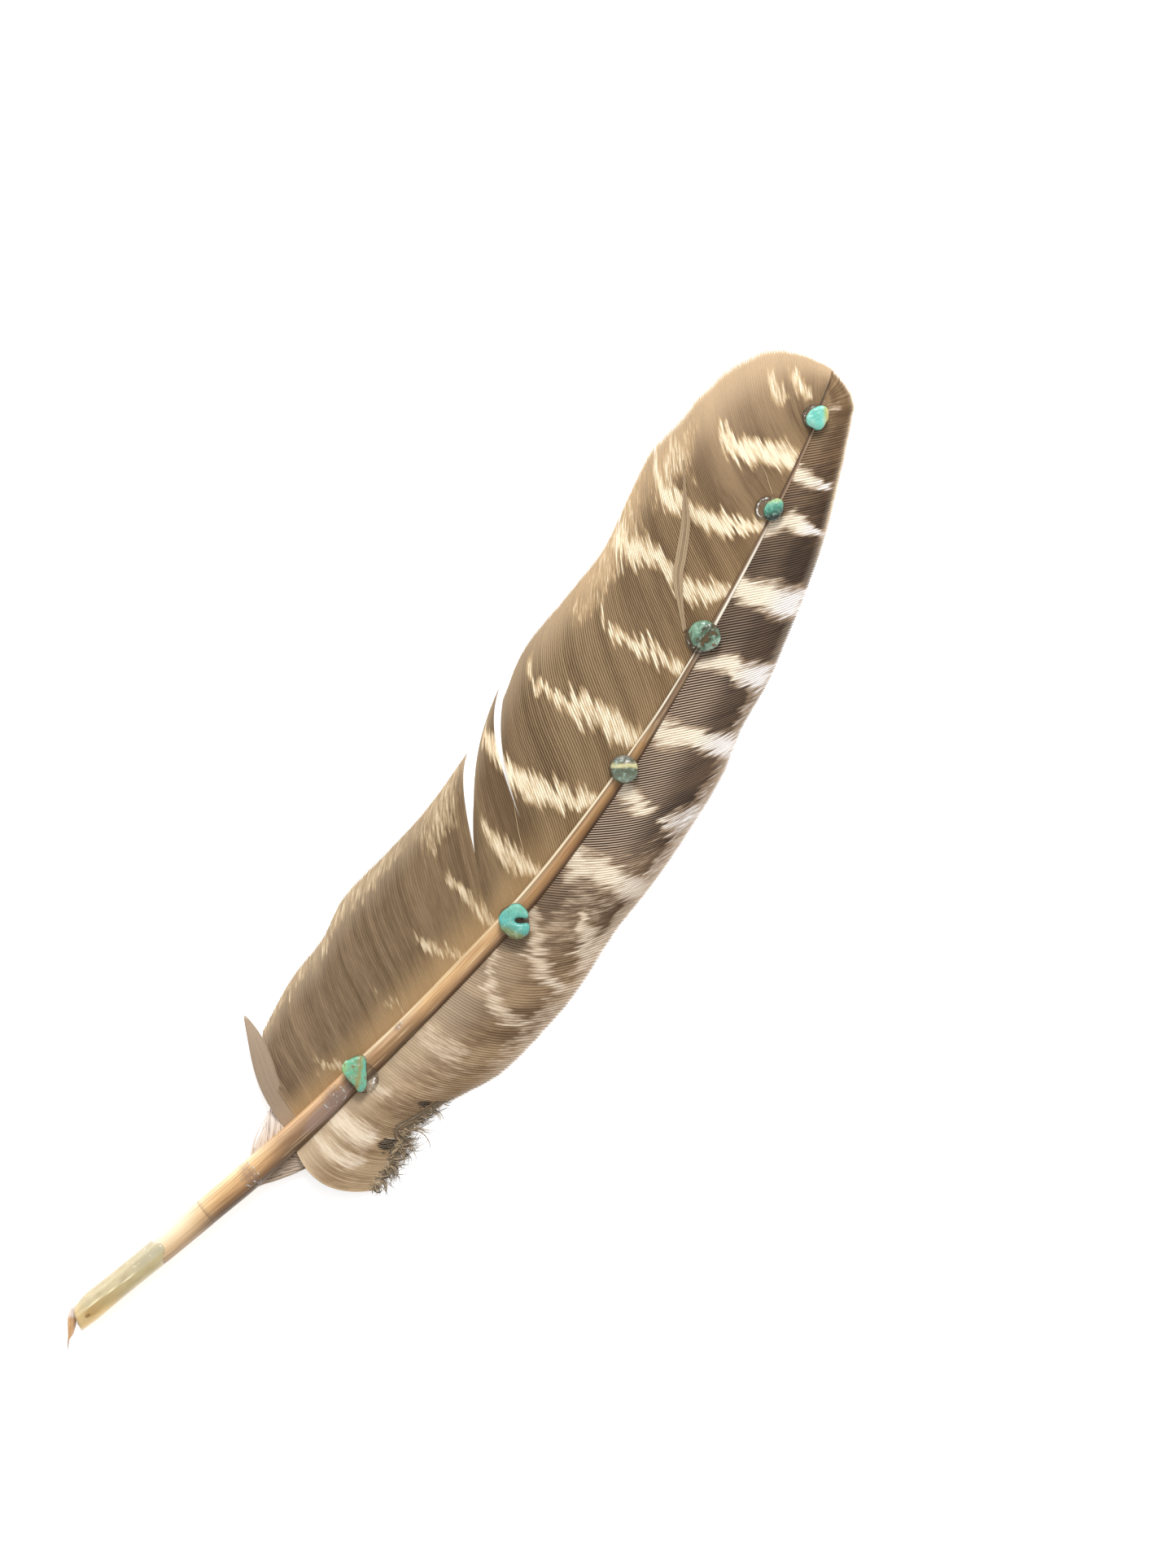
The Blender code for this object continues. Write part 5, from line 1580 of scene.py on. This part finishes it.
def make_ink():
    """A crust of ink along the lower part of the mouth's rim."""
    low, high = drawing_box("ink_residue")
    bm = bmesh.new()
    bmesh.ops.create_icosphere(bm, subdivisions=5, radius=1.0)
    for vertex in bm.verts:
        crust = 1 + 0.22 * noise.noise(vertex.co * 2.3) + 0.1 * noise.noise(vertex.co * 6.0)
        where = INK_MIDDLE.copy()
        where.z = (low.z + high.z + vertex.co.z * crust * (high.z - low.z)) / 2
        where += INK_RUN * (vertex.co.x * crust * INK_REACHES[0])
        where += Vector((-INK_RUN.y, INK_RUN.x, 0.0)) * (vertex.co.y * crust * INK_REACHES[1])
        vertex.co = row_point(where)
    mesh = bpy.data.meshes.new("ink_crust")
    bm.to_mesh(mesh)
    bm.free()
    stands_for(finish_mesh("ink_crust", mesh, ink_look("dry_ink")), "dried_ink", "ink_residue")


def finish_inner_pieces():
    """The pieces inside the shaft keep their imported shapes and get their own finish."""
    looks = {
        "rachis_pith": pulp_look("white_pith", (240, 234, 218), (220, 210, 188)),
        "pulp_strip": pulp_look("dry_pulp", (214, 196, 150), (176, 150, 100)),
        "pulp_cap": pulp_look("dry_pulp_cap", (190, 160, 104), (140, 108, 60)),
    }
    for node, look in looks.items():
        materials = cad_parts[node].data.materials
        materials.clear()
        materials.append(look)


# ---------------------------------------------------------------- stones and glue


def drawing_box(node):
    """The node's lowest and highest corners, in the drawing."""
    return [Vector(corner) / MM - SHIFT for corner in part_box(node)]


def chip_blank(outline, height):
    """The chip's outline, extruded with rounded rims, as a mesh about its own middle, in millimetres."""
    bevel = CHIP_RIM * height
    curve = bpy.data.curves.new("chip", "CURVE")
    curve.dimensions = "2D"
    curve.fill_mode = "BOTH"
    curve.resolution_u = 8
    curve.extrude = height / 2 - bevel
    curve.bevel_depth = bevel
    curve.bevel_resolution = 4
    curve.offset = -bevel * CHIP_INSET
    spline = curve.splines.new("BEZIER")
    spline.bezier_points.add(len(outline) - 1)
    spline.use_cyclic_u = True
    for point, (x, y) in zip(spline.bezier_points, outline):
        point.co = (x, y, 0.0)
        point.handle_left_type = "AUTO"
        point.handle_right_type = "AUTO"
    obj = bpy.data.objects.new("chip", curve)
    bpy.context.scene.collection.objects.link(obj)
    graph = bpy.context.evaluated_depsgraph_get()
    mesh = bpy.data.meshes.new_from_object(obj.evaluated_get(graph))
    bpy.data.objects.remove(obj)
    return mesh


def tumbled(mesh):
    """The mesh made one even skin and worn smooth, as by tumbling."""
    obj = bpy.data.objects.new("tumbled", mesh)
    bpy.context.scene.collection.objects.link(obj)
    remesh = obj.modifiers.new("skin", "REMESH")
    remesh.mode = "VOXEL"
    remesh.voxel_size = CHIP_SKIN
    wear = obj.modifiers.new("wear", "SMOOTH")
    wear.factor = 0.5
    wear.iterations = CHIP_WEAR
    bpy.context.view_layer.update()
    graph = bpy.context.evaluated_depsgraph_get()
    worn = bpy.data.meshes.new_from_object(obj.evaluated_get(graph))
    bpy.data.objects.remove(obj)
    return worn


def make_stone(node, stone):
    """One tumbled chip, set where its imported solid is."""
    low, high = drawing_box(node)
    height = high.z - low.z
    middle = (low + high) / 2 + Vector((*stone["slide"], 0.0))
    outline = stone["outline"]
    spans = [(min(values), max(values)) for values in zip(*outline)]
    centre = Vector((sum(spans[0]) / 2, sum(spans[1]) / 2, 0.0))
    radius = max(high.x - low.x, high.y - low.y) / 2
    shift = Vector((stone["seed"], 0.0, 0.0))
    mesh = tumbled(chip_blank(outline, height))
    for vertex in mesh.vertices:
        point = vertex.co.copy()
        off = point - centre
        away = math.hypot(off.x, off.y) / radius
        share = (point.z + height / 2) / height
        bend = stone["dents"] * (noise.noise(point * 0.45 + shift) + 0.35 * noise.noise(point * 1.3))
        lean = stone["tilt"][0] * off.x + stone["tilt"][1] * off.y
        top = max(0.0, share) * (lean + bend - stone["dome"] * away * away)
        reach = off * (1 + 0.03 * noise.noise(point * 0.8)) * stone["size"]
        vertex.co = row_point((middle.x + reach.x, middle.y + reach.y, middle.z + point.z + top))
    mesh.materials.clear()
    chip = finish_mesh(node.replace("stone", "turquoise_chip"), mesh, turquoise_look(node, stone))
    stands_for(chip, stone["slot"], node)


def make_stones():
    for number, stone in enumerate(STONES, 1):
        make_stone(f"stone_{number}", stone)


def add_dome(strands, middle, radii, low, rise, seed, sides=48):
    """Adds a flat-bottomed dome of glue with a slightly uneven rim."""
    profile = [(0.02, 0.0), (0.5, 0.0), (0.94, 0.0), (1.0, 0.05)]
    profile += [(math.cos(a) ** 0.85, 0.05 + 0.95 * math.sin(a)) for a in np.linspace(0.12, 1.54, 15)]
    rings = []
    for share, lift in profile:
        ring = []
        for k in range(sides):
            angle = 2 * math.pi * k / sides
            reach = share * (1 + 0.07 * wander(min(angle, 2 * math.pi - angle) * 1.3, seed))
            x = middle[0] + radii[0] * reach * math.cos(angle)
            y = middle[1] + radii[1] * reach * math.sin(angle)
            ring.append((x, y, low + rise * lift))
        rings.append(ring)
    strands.add(rings, {"along": np.array([[share] for share, _ in profile])})


def make_glue():
    look = glue_look("clear_glue_bead")
    for number, (slide, size) in enumerate(GLUE_SHIFTS, 1):
        node = f"glue_{number}"
        low, high = drawing_box(node)
        middle = (low + high) / 2 + Vector((*slide, 0.0))
        radii = (size * (high.x - low.x) / 2, size * (high.y - low.y) / 2)
        strands = Strands()
        add_dome(strands, middle, radii, low.z, high.z - low.z, number * 1.7)
        stands_for(strands.build(f"bead_of_glue_{number}", look), "clear_glue", node)
    middle, radius, height = SMALL_BEAD
    bubble = Strands()
    add_dome(bubble, middle, (radius, radius), drawing_box("glue_1")[0].z + 0.2, height, 2.0, 32)
    bubble.build("bead_of_glue_small", look)


def make_glue_films():
    """Thin ragged skins of dried glue that follow the shaft."""
    look = film_look("clear_glue_film")
    for seed, (middle, half, angle, spread) in enumerate(GLUE_FILMS):
        rings = []
        for share, lift in FILM_SECTION:
            ring = []
            for k in range(FILM_SIDES):
                turn = 2 * math.pi * k / FILM_SIDES
                at = Vector((math.cos(turn), math.sin(turn), seed * 4.0))
                reach = share * (1 + 0.3 * noise.noise(at * 1.6) + 0.16 * noise.noise(at * 4.0))
                x = middle + half * reach * math.cos(turn)
                around = math.radians(180.0 - angle + spread * reach * math.sin(turn))
                ring.append(tuple(shaft_point(x, around, 0.03 + lift)))
            rings.append(ring)
        strands = Strands()
        strands.add(rings, {"along": np.array([[share] for share, _ in FILM_SECTION])})
        skin = strands.build(f"skin_of_glue_{seed + 1}", look)
        stands_for(skin, "clear_glue", f"glue_film_{seed + 1}")


# ---------------------------------------------------------------- loose strands


def strand_values(path, radius, tone, sides):
    """Along, tone and grain for one strand."""
    points = np.array([tuple(p) for p in path])
    length = np.concatenate(((0.0,), np.cumsum(np.linalg.norm(np.diff(points, axis=0), axis=1))))
    across = radius * np.cos(2 * math.pi * np.arange(sides) / sides)
    grain = np.broadcast_arrays(length[:, None], across[None, :], np.array(tone * LOOSE_GRAIN))
    return {
        "along": np.linspace(0.0, 1.0, len(points))[:, None],
        "tone": np.array([[tone]]),
        "grain": np.stack(grain, axis=2),
    }


def add_strand(strands, path, radius, tone, flat=0.6, tip=0.15, sides=6, sizes=None):
    rings = strand_rings(path, radius, sides, flat, tip, sizes)
    strands.add(rings, strand_values(path, radius, tone, sides))


def bundle(path, count, spread, radius, vane, seed, lift):
    """Barbs lying side by side over a vane along the path. They spread most at the bundle's middle."""
    random = np.random.default_rng(seed)
    middle = smooth_path([(x, y, 0.0) for x, y in path], BUNDLE_STEPS)
    strands = Strands()
    for k in range(count):
        place = (k + 0.5) / count * 2 - 1
        points = []
        for step in range(int(BUNDLE_STEPS * (1 - 0.12 * random.random()))):
            t = step / (BUNDLE_STEPS - 1)
            ahead = middle[min(step + 1, BUNDLE_STEPS - 1)] - middle[max(step - 1, 0)]
            across = Vector((-ahead.y, ahead.x, 0.0)).normalized()
            fan = spread * place * (0.35 + 0.65 * math.sin(math.pi * min(1.0, 0.15 + 0.95 * t)))
            fan += 0.12 * wander(t * 3.0, seed + k * 1.7)
            where = middle[step] + across * fan
            above = 0.1 * (1 - place * place) + 0.05 * wander(t * 4.0, seed + k)
            points.append((where.x, where.y, vane.height_near(where.x, where.y) + lift + above))
        add_strand(strands, points, radius, random.random(), 0.55, 0.35)
    return strands


def ribbon(edges, count, vane, seed):
    """Barbs that cling together side by side between two edges."""
    lower, upper = (smooth_path([(x, y, 0.0) for x, y in edge], LOCK_STEPS) for edge in edges)
    strands = Strands()
    for k in range(count):
        place = (k + 0.5) / count
        points = []
        sizes = []
        for step in range(LOCK_STEPS):
            where = lower[step].lerp(upper[step], place)
            wide = (upper[step] - lower[step]).length
            above = 0.25 + 0.12 * math.sin(math.pi * place) + 0.03 * wander(step * 0.08, seed + k)
            points.append((where.x, where.y, vane.height_near(where.x, where.y) + above))
            sizes.append(max(0.07, 0.58 * wide / count))
        add_strand(strands, points, 1.0, (k * 0.37) % 1.0, 0.5, 1.0, sizes=sizes)
    return strands


def make_loose_barbs(vane, look, pale):
    """Barbs that have come unhooked over the wide vane. The longest two cling together as a lock."""
    lock = ribbon(LOCK_EDGES, LOCK_BARBS, vane, 5).build("loose_lock", look)
    stands_for(lock, "wide_vane", "loose_barb_1", "loose_barb_2")
    upper = bundle(UPPER_HAIR, 1, 0.0, 0.1, vane, 7, 0.2).build("loose_hair", pale)
    stands_for(upper, "wide_vane", "loose_barb_3")
    lower = bundle(LOWER_HAIR, 1, 0.0, 0.1, vane, 8, 0.2).build("pale_hair", pale)
    stands_for(lower, "pale_barb", "loose_barb_4")


def down_path(root, tip, sag):
    """A soft barb that bows between its root and its tip."""
    root, tip = Vector(root), Vector(tip)
    run = tip - root
    across = Vector((-run.y, run.x, 0.0)) * sag
    return [
        root + run * t + across * math.sin(math.pi * t) + Vector((0.0, 0.0, 0.35 * math.sin(math.pi * t)))
        for t in np.linspace(0.0, 1.0, DOWN_STEPS)
    ]


def make_left_down(look):
    """Pinkish down between the shaft and the wide vane's first lock."""
    random = np.random.default_rng(LEFT_DOWN_SEED)
    strands = Strands()
    for k in range(LEFT_DOWN):
        share = k / (LEFT_DOWN - 1)
        x = 56.8 + 10.6 * share
        root = root_of(x, 1.0) + Vector((0.0, 0.0, -0.4 + 0.5 * random.random()))
        reach = 9.0 - 4.5 * share + 1.4 * random.random()
        tip_x = x + reach
        edge = -5.9 + 0.277 * (tip_x - 58.4)
        tip_y = edge - 0.2 - (1.2 + 1.6 * share) * random.random() ** 1.5
        tip = Vector((tip_x, tip_y, 2.2 + 0.8 * random.random()))
        path = down_path(root, tip, 0.04 * random.standard_normal())
        add_strand(strands, path, 0.3 + 0.1 * random.random(), random.random() ** 2.2, 0.25, 0.3)
    stands_for(strands.build("left_down", look), "down", "down_left")


def make_right_down(look):
    """Down on the narrow vane's side, tucked under the rolled foot."""
    random = np.random.default_rng(RIGHT_DOWN_SEED)
    strands = Strands()
    for k in range(RIGHT_DOWN):
        share = k / (RIGHT_DOWN - 1)
        x = 52.6 + 13.8 * share
        root = root_of(x, -1.0) + Vector((0.0, 0.0, -1.3 + 0.5 * random.random()))
        reach = 11.0 - 8.0 * share + 1.5 * random.random()
        tip_x = min(x + reach, 68.0 + random.random())
        edge = -13.6 - 0.53 * (tip_x - 53.0)
        tip = Vector((tip_x, edge + 0.2 + 1.3 * random.random() ** 1.5, 1.2 + 0.6 * random.random()))
        path = down_path(root, tip, 0.05 * random.standard_normal())
        add_strand(strands, path, 0.28 + 0.1 * random.random(), random.random() ** 1.8, 0.3, 0.3)
    stands_for(strands.build("right_down", look), "down", "down_right")


def heading_of(degrees):
    """Unit vector in the drawing's plane."""
    angle = math.radians(degrees)
    return Vector((math.cos(angle), math.sin(angle), 0.0))


def hook_path(start, heading, length, turn, drop, steps=14):
    """A frayed end that leaves at a heading in degrees and turns by so many degrees over its length."""
    where = Vector(start)
    path = [where.copy()]
    for step in range(steps - 1):
        t = step / (steps - 2)
        where = where + heading_of(heading + turn * t) * length / (steps - 1)
        where.z = max(STRAND_FLOOR, start[2] - drop * math.sin(math.pi * t / 2))
        path.append(where.copy())
    return path


def make_tuft(strands, vane, random, tuft):
    """Clumps of frayed ends that leave a run of the foot's barbs just short of their tips."""
    first, last, clumps, longest, usual = tuft
    for clump in range(clumps):
        x = first + (last - first) * (clump + random.random()) / clumps
        k = int(np.argmin(np.abs(vane.roots - x)))
        step = int(BARB_STEPS * (0.88 + 0.11 * random.random()))
        heading = usual + 26.0 * random.standard_normal()
        turn = 90.0 * random.standard_normal()
        reach = longest * (0.2 + 0.8 * random.random() ** 2.5)
        for _ in range(STRANDS_PER_CLUMP):
            start = Vector(vane.paths[k][step])
            start += Vector((0.4 * random.standard_normal(), 0.3 * random.standard_normal(), 0.0))
            start.z += 0.1 - 0.5 * random.random()
            length = reach * (0.4 + 0.7 * random.random())
            leaves = heading + 10.0 * random.standard_normal()
            path = hook_path(start, leaves, length, turn + 40.0 * random.standard_normal(), 0.3, 16)
            add_strand(strands, path, 0.07 + 0.13 * random.random(), random.random(), 0.6, 0.12, 5)


def make_fringe(vane, look, dark):
    """Frayed ends below the rolled foot, and dark strands under it and in its tears that paint the shade
    beneath the foot.
    """
    random = np.random.default_rng(FRINGE_SEED)
    for number, tuft in enumerate(TUFTS, 1):
        strands = Strands()
        make_tuft(strands, vane, random, tuft)
        stands_for(strands.build(f"frayed_ends_{number}", look), "down", f"fringe_{number}")
    # Dark strands that paint the shade under the foot and inside its tears.
    under = Strands()
    for k in range(4, len(vane.roots)):
        path = vane.paths[k].copy()
        path[:, 2] = np.maximum(STRAND_FLOOR, path[:, 2] - 0.8)
        path[:, 0] += 0.3 * random.standard_normal()
        add_strand(under, path[4:BARB_STEPS:2], 0.5, random.random(), 0.3, 0.6)
    for (x, y), turned, reach, count in FOOT_TEARS:
        run = heading_of(turned)
        for _ in range(count):
            where = Vector((x, y, 0.0)) + run * reach[0] * random.uniform(-1, 1)
            where += Vector((-run.y, run.x, 0.0)) * reach[1] * random.uniform(-1, 1)
            where.z = vane.height_near(where.x, where.y) - 0.45 + 0.2 * random.random()
            leaves = turned + 25.0 * random.standard_normal()
            length = 0.8 + random.random()
            path = hook_path(where, leaves, length, 60.0 * random.random(), 0.1)
            add_strand(under, path, 0.12 + 0.1 * random.random(), random.random(), 0.6, 0.3, 5)
    under.build("painted_shade_under_foot", dark)


def make_fold_rim(vane, look):
    """Loose barbs that lie along the torn edge of the narrow vane and reach past it."""
    rim = Strands()
    for seed, path in enumerate(RIM_BARBS, 60):
        rim.join(bundle(path, 4, 0.4, 0.07, vane, seed, 0.25))
    rim.build("curled_rim", look)


def make_tip_barb(vane, look):
    """The stiff dark barb past the first chip."""
    bundle(TIP_BARB, 1, 0.0, 0.16, vane, 14, 0.24).build("tip_barb", look)


# ---------------------------------------------------------------- vanes in place


def tear(vane, spots):
    """Thins the barbs in each spot: its middle, heading in degrees, and reaches along it and across it."""
    for (x, y), turned, reach, _ in spots:
        run = heading_of(turned)
        along = (vane.paths[..., 0] - x) * run.x + (vane.paths[..., 1] - y) * run.y
        aside = (vane.paths[..., 1] - y) * run.x - (vane.paths[..., 0] - x) * run.y
        away = (along / reach[0]) ** 2 + (aside / reach[1]) ** 2
        vane.half *= 1 - TORN_SHARE * (1 - blend(away, 0.5, 1.2))


def make_vanes():
    wide_look = vane_look("wide_barred_web", 1.0)
    narrow_look = vane_look("narrow_barred_web", -1.0)
    wide = (
        ("base_lock_barbs", LEFT_BASE_LOCK, "vane_left_base_lock", 101, LEAF_FINENESS),
        ("lower_barbs", LEFT_LOWER, "vane_left_lower", 102, 1.0),
        ("lock_barbs", LEFT_LOCK, "vane_left_lock", 103, 1.0),
        ("upper_barbs", LEFT_UPPER, "vane_left_upper", 104, 1.0),
    )
    made = {}
    for name, rows, node, seed, fine in wide:
        vane = Vane(rows, 1.0, WIDE_SPLITS, seed, fine)
        build_vane(vane, name, WIDE_BARS, wide_look, "wide_vane", node)
        made[name] = vane
    foot = Vane(RIGHT_BASE, -1.0, (), 105, FOOT_FINENESS)
    tear(foot, FOOT_TEARS)
    build_vane(foot, "foot_barbs", NARROW_BARS, narrow_look, "narrow_vane", "vane_right_base")
    narrow = Vane(RIGHT_MAIN, -1.0, NARROW_SPLITS, 106)
    tear(narrow, FOOT_TEARS)
    build_vane(narrow, "narrow_barbs", NARROW_BARS, narrow_look, "narrow_vane", "vane_right_main")
    return made["upper_barbs"], foot


# ---------------------------------------------------------------- stage


def make_floor():
    mesh = bpy.data.meshes.new("floor")
    bm = bmesh.new()
    bmesh.ops.create_grid(bm, x_segments=8, y_segments=8, size=1.6)
    bm.to_mesh(mesh)
    bm.free()
    mesh.materials.append(floor_look("pale_floor"))
    floor = bpy.data.objects.new("floor", mesh)
    floor.location.z = -0.0003
    bpy.context.scene.collection.objects.link(floor)


def make_camera():
    """Looks straight down. The top of the view points along the feather and towards the wide vane."""
    camera = bpy.data.objects.new("camera", bpy.data.cameras.new("camera"))
    camera.data.lens = LENS
    camera.data.sensor_width = SENSOR
    camera.data.clip_end = 20.0
    middle = row_point((*VIEW_MIDDLE, 0.0))
    camera.location = middle + Vector((0.0, 0.0, LENS / SENSOR * VIEW_TALL * MM))
    camera.rotation_euler = (0.0, 0.0, VIEW_TURN)
    bpy.context.scene.collection.objects.link(camera)
    bpy.context.scene.camera = camera


def make_light(name, direction, distance, size, power):
    """A square soft box that faces the feather's middle from the direction."""
    lamp = bpy.data.lights.new(name, "AREA")
    lamp.size = size
    lamp.energy = power
    light = bpy.data.objects.new(name, lamp)
    away = Vector(direction).normalized()
    light.location = row_point((*VIEW_MIDDLE, 0.0)) + away * distance
    light.rotation_euler = away.to_track_quat("Z", "Y").to_euler()
    bpy.context.scene.collection.objects.link(light)


def make_lights():
    world = bpy.data.worlds.new("studio")
    world.use_nodes = True
    back = world.node_tree.nodes["Background"]
    back.inputs["Color"].default_value = (1.0, 1.0, 1.0, 1.0)
    back.inputs["Strength"].default_value = 0.72
    bpy.context.scene.world = world
    up = Vector((math.sin(-VIEW_TURN), math.cos(VIEW_TURN), 0.0))
    make_light("key", up * 0.9 + Vector((0.0, 0.0, 1.0)), 1.5, 0.5, 17.0)
    bpy.context.scene.view_settings.view_transform = "Standard"


def main():
    make_barrel()
    make_neck()
    make_rachis()
    make_nib()
    make_ink()
    finish_inner_pieces()
    upper, foot = make_vanes()
    loose = strand_look("loose_barb", (172, 148, 116), (160, 136, 106), (112, 92, 68), 0.45)
    pale = strand_look("pale_barb", (224, 204, 168), (246, 228, 196), (190, 164, 126))
    down = strand_look("pinkish_down", (220, 200, 182), (240, 228, 218), (150, 120, 104), 0.15)
    tan_down = strand_look("tan_down", (178, 156, 134), (196, 178, 160), (112, 92, 74), 0.4)
    frayed = strand_look("frayed_barb", (180, 156, 122), (138, 122, 102), (82, 70, 56), 0.65)
    # One dark material: the real dark barb past the first chip, and the strands that paint the shade under
    # the foot.
    dark_barb_and_shade = strand_look("dark_barb_and_shade_web", (92, 78, 64), (76, 66, 56), (46, 40, 34), 0.7)
    make_loose_barbs(upper, loose, pale)
    make_left_down(down)
    make_right_down(tan_down)
    make_fringe(foot, frayed, dark_barb_and_shade)
    make_fold_rim(foot, frayed)
    make_tip_barb(upper, dark_barb_and_shade)
    make_stones()
    make_glue()
    make_glue_films()
    make_floor()
    make_camera()
    make_lights()


main()
bpy.context.view_layer.update()
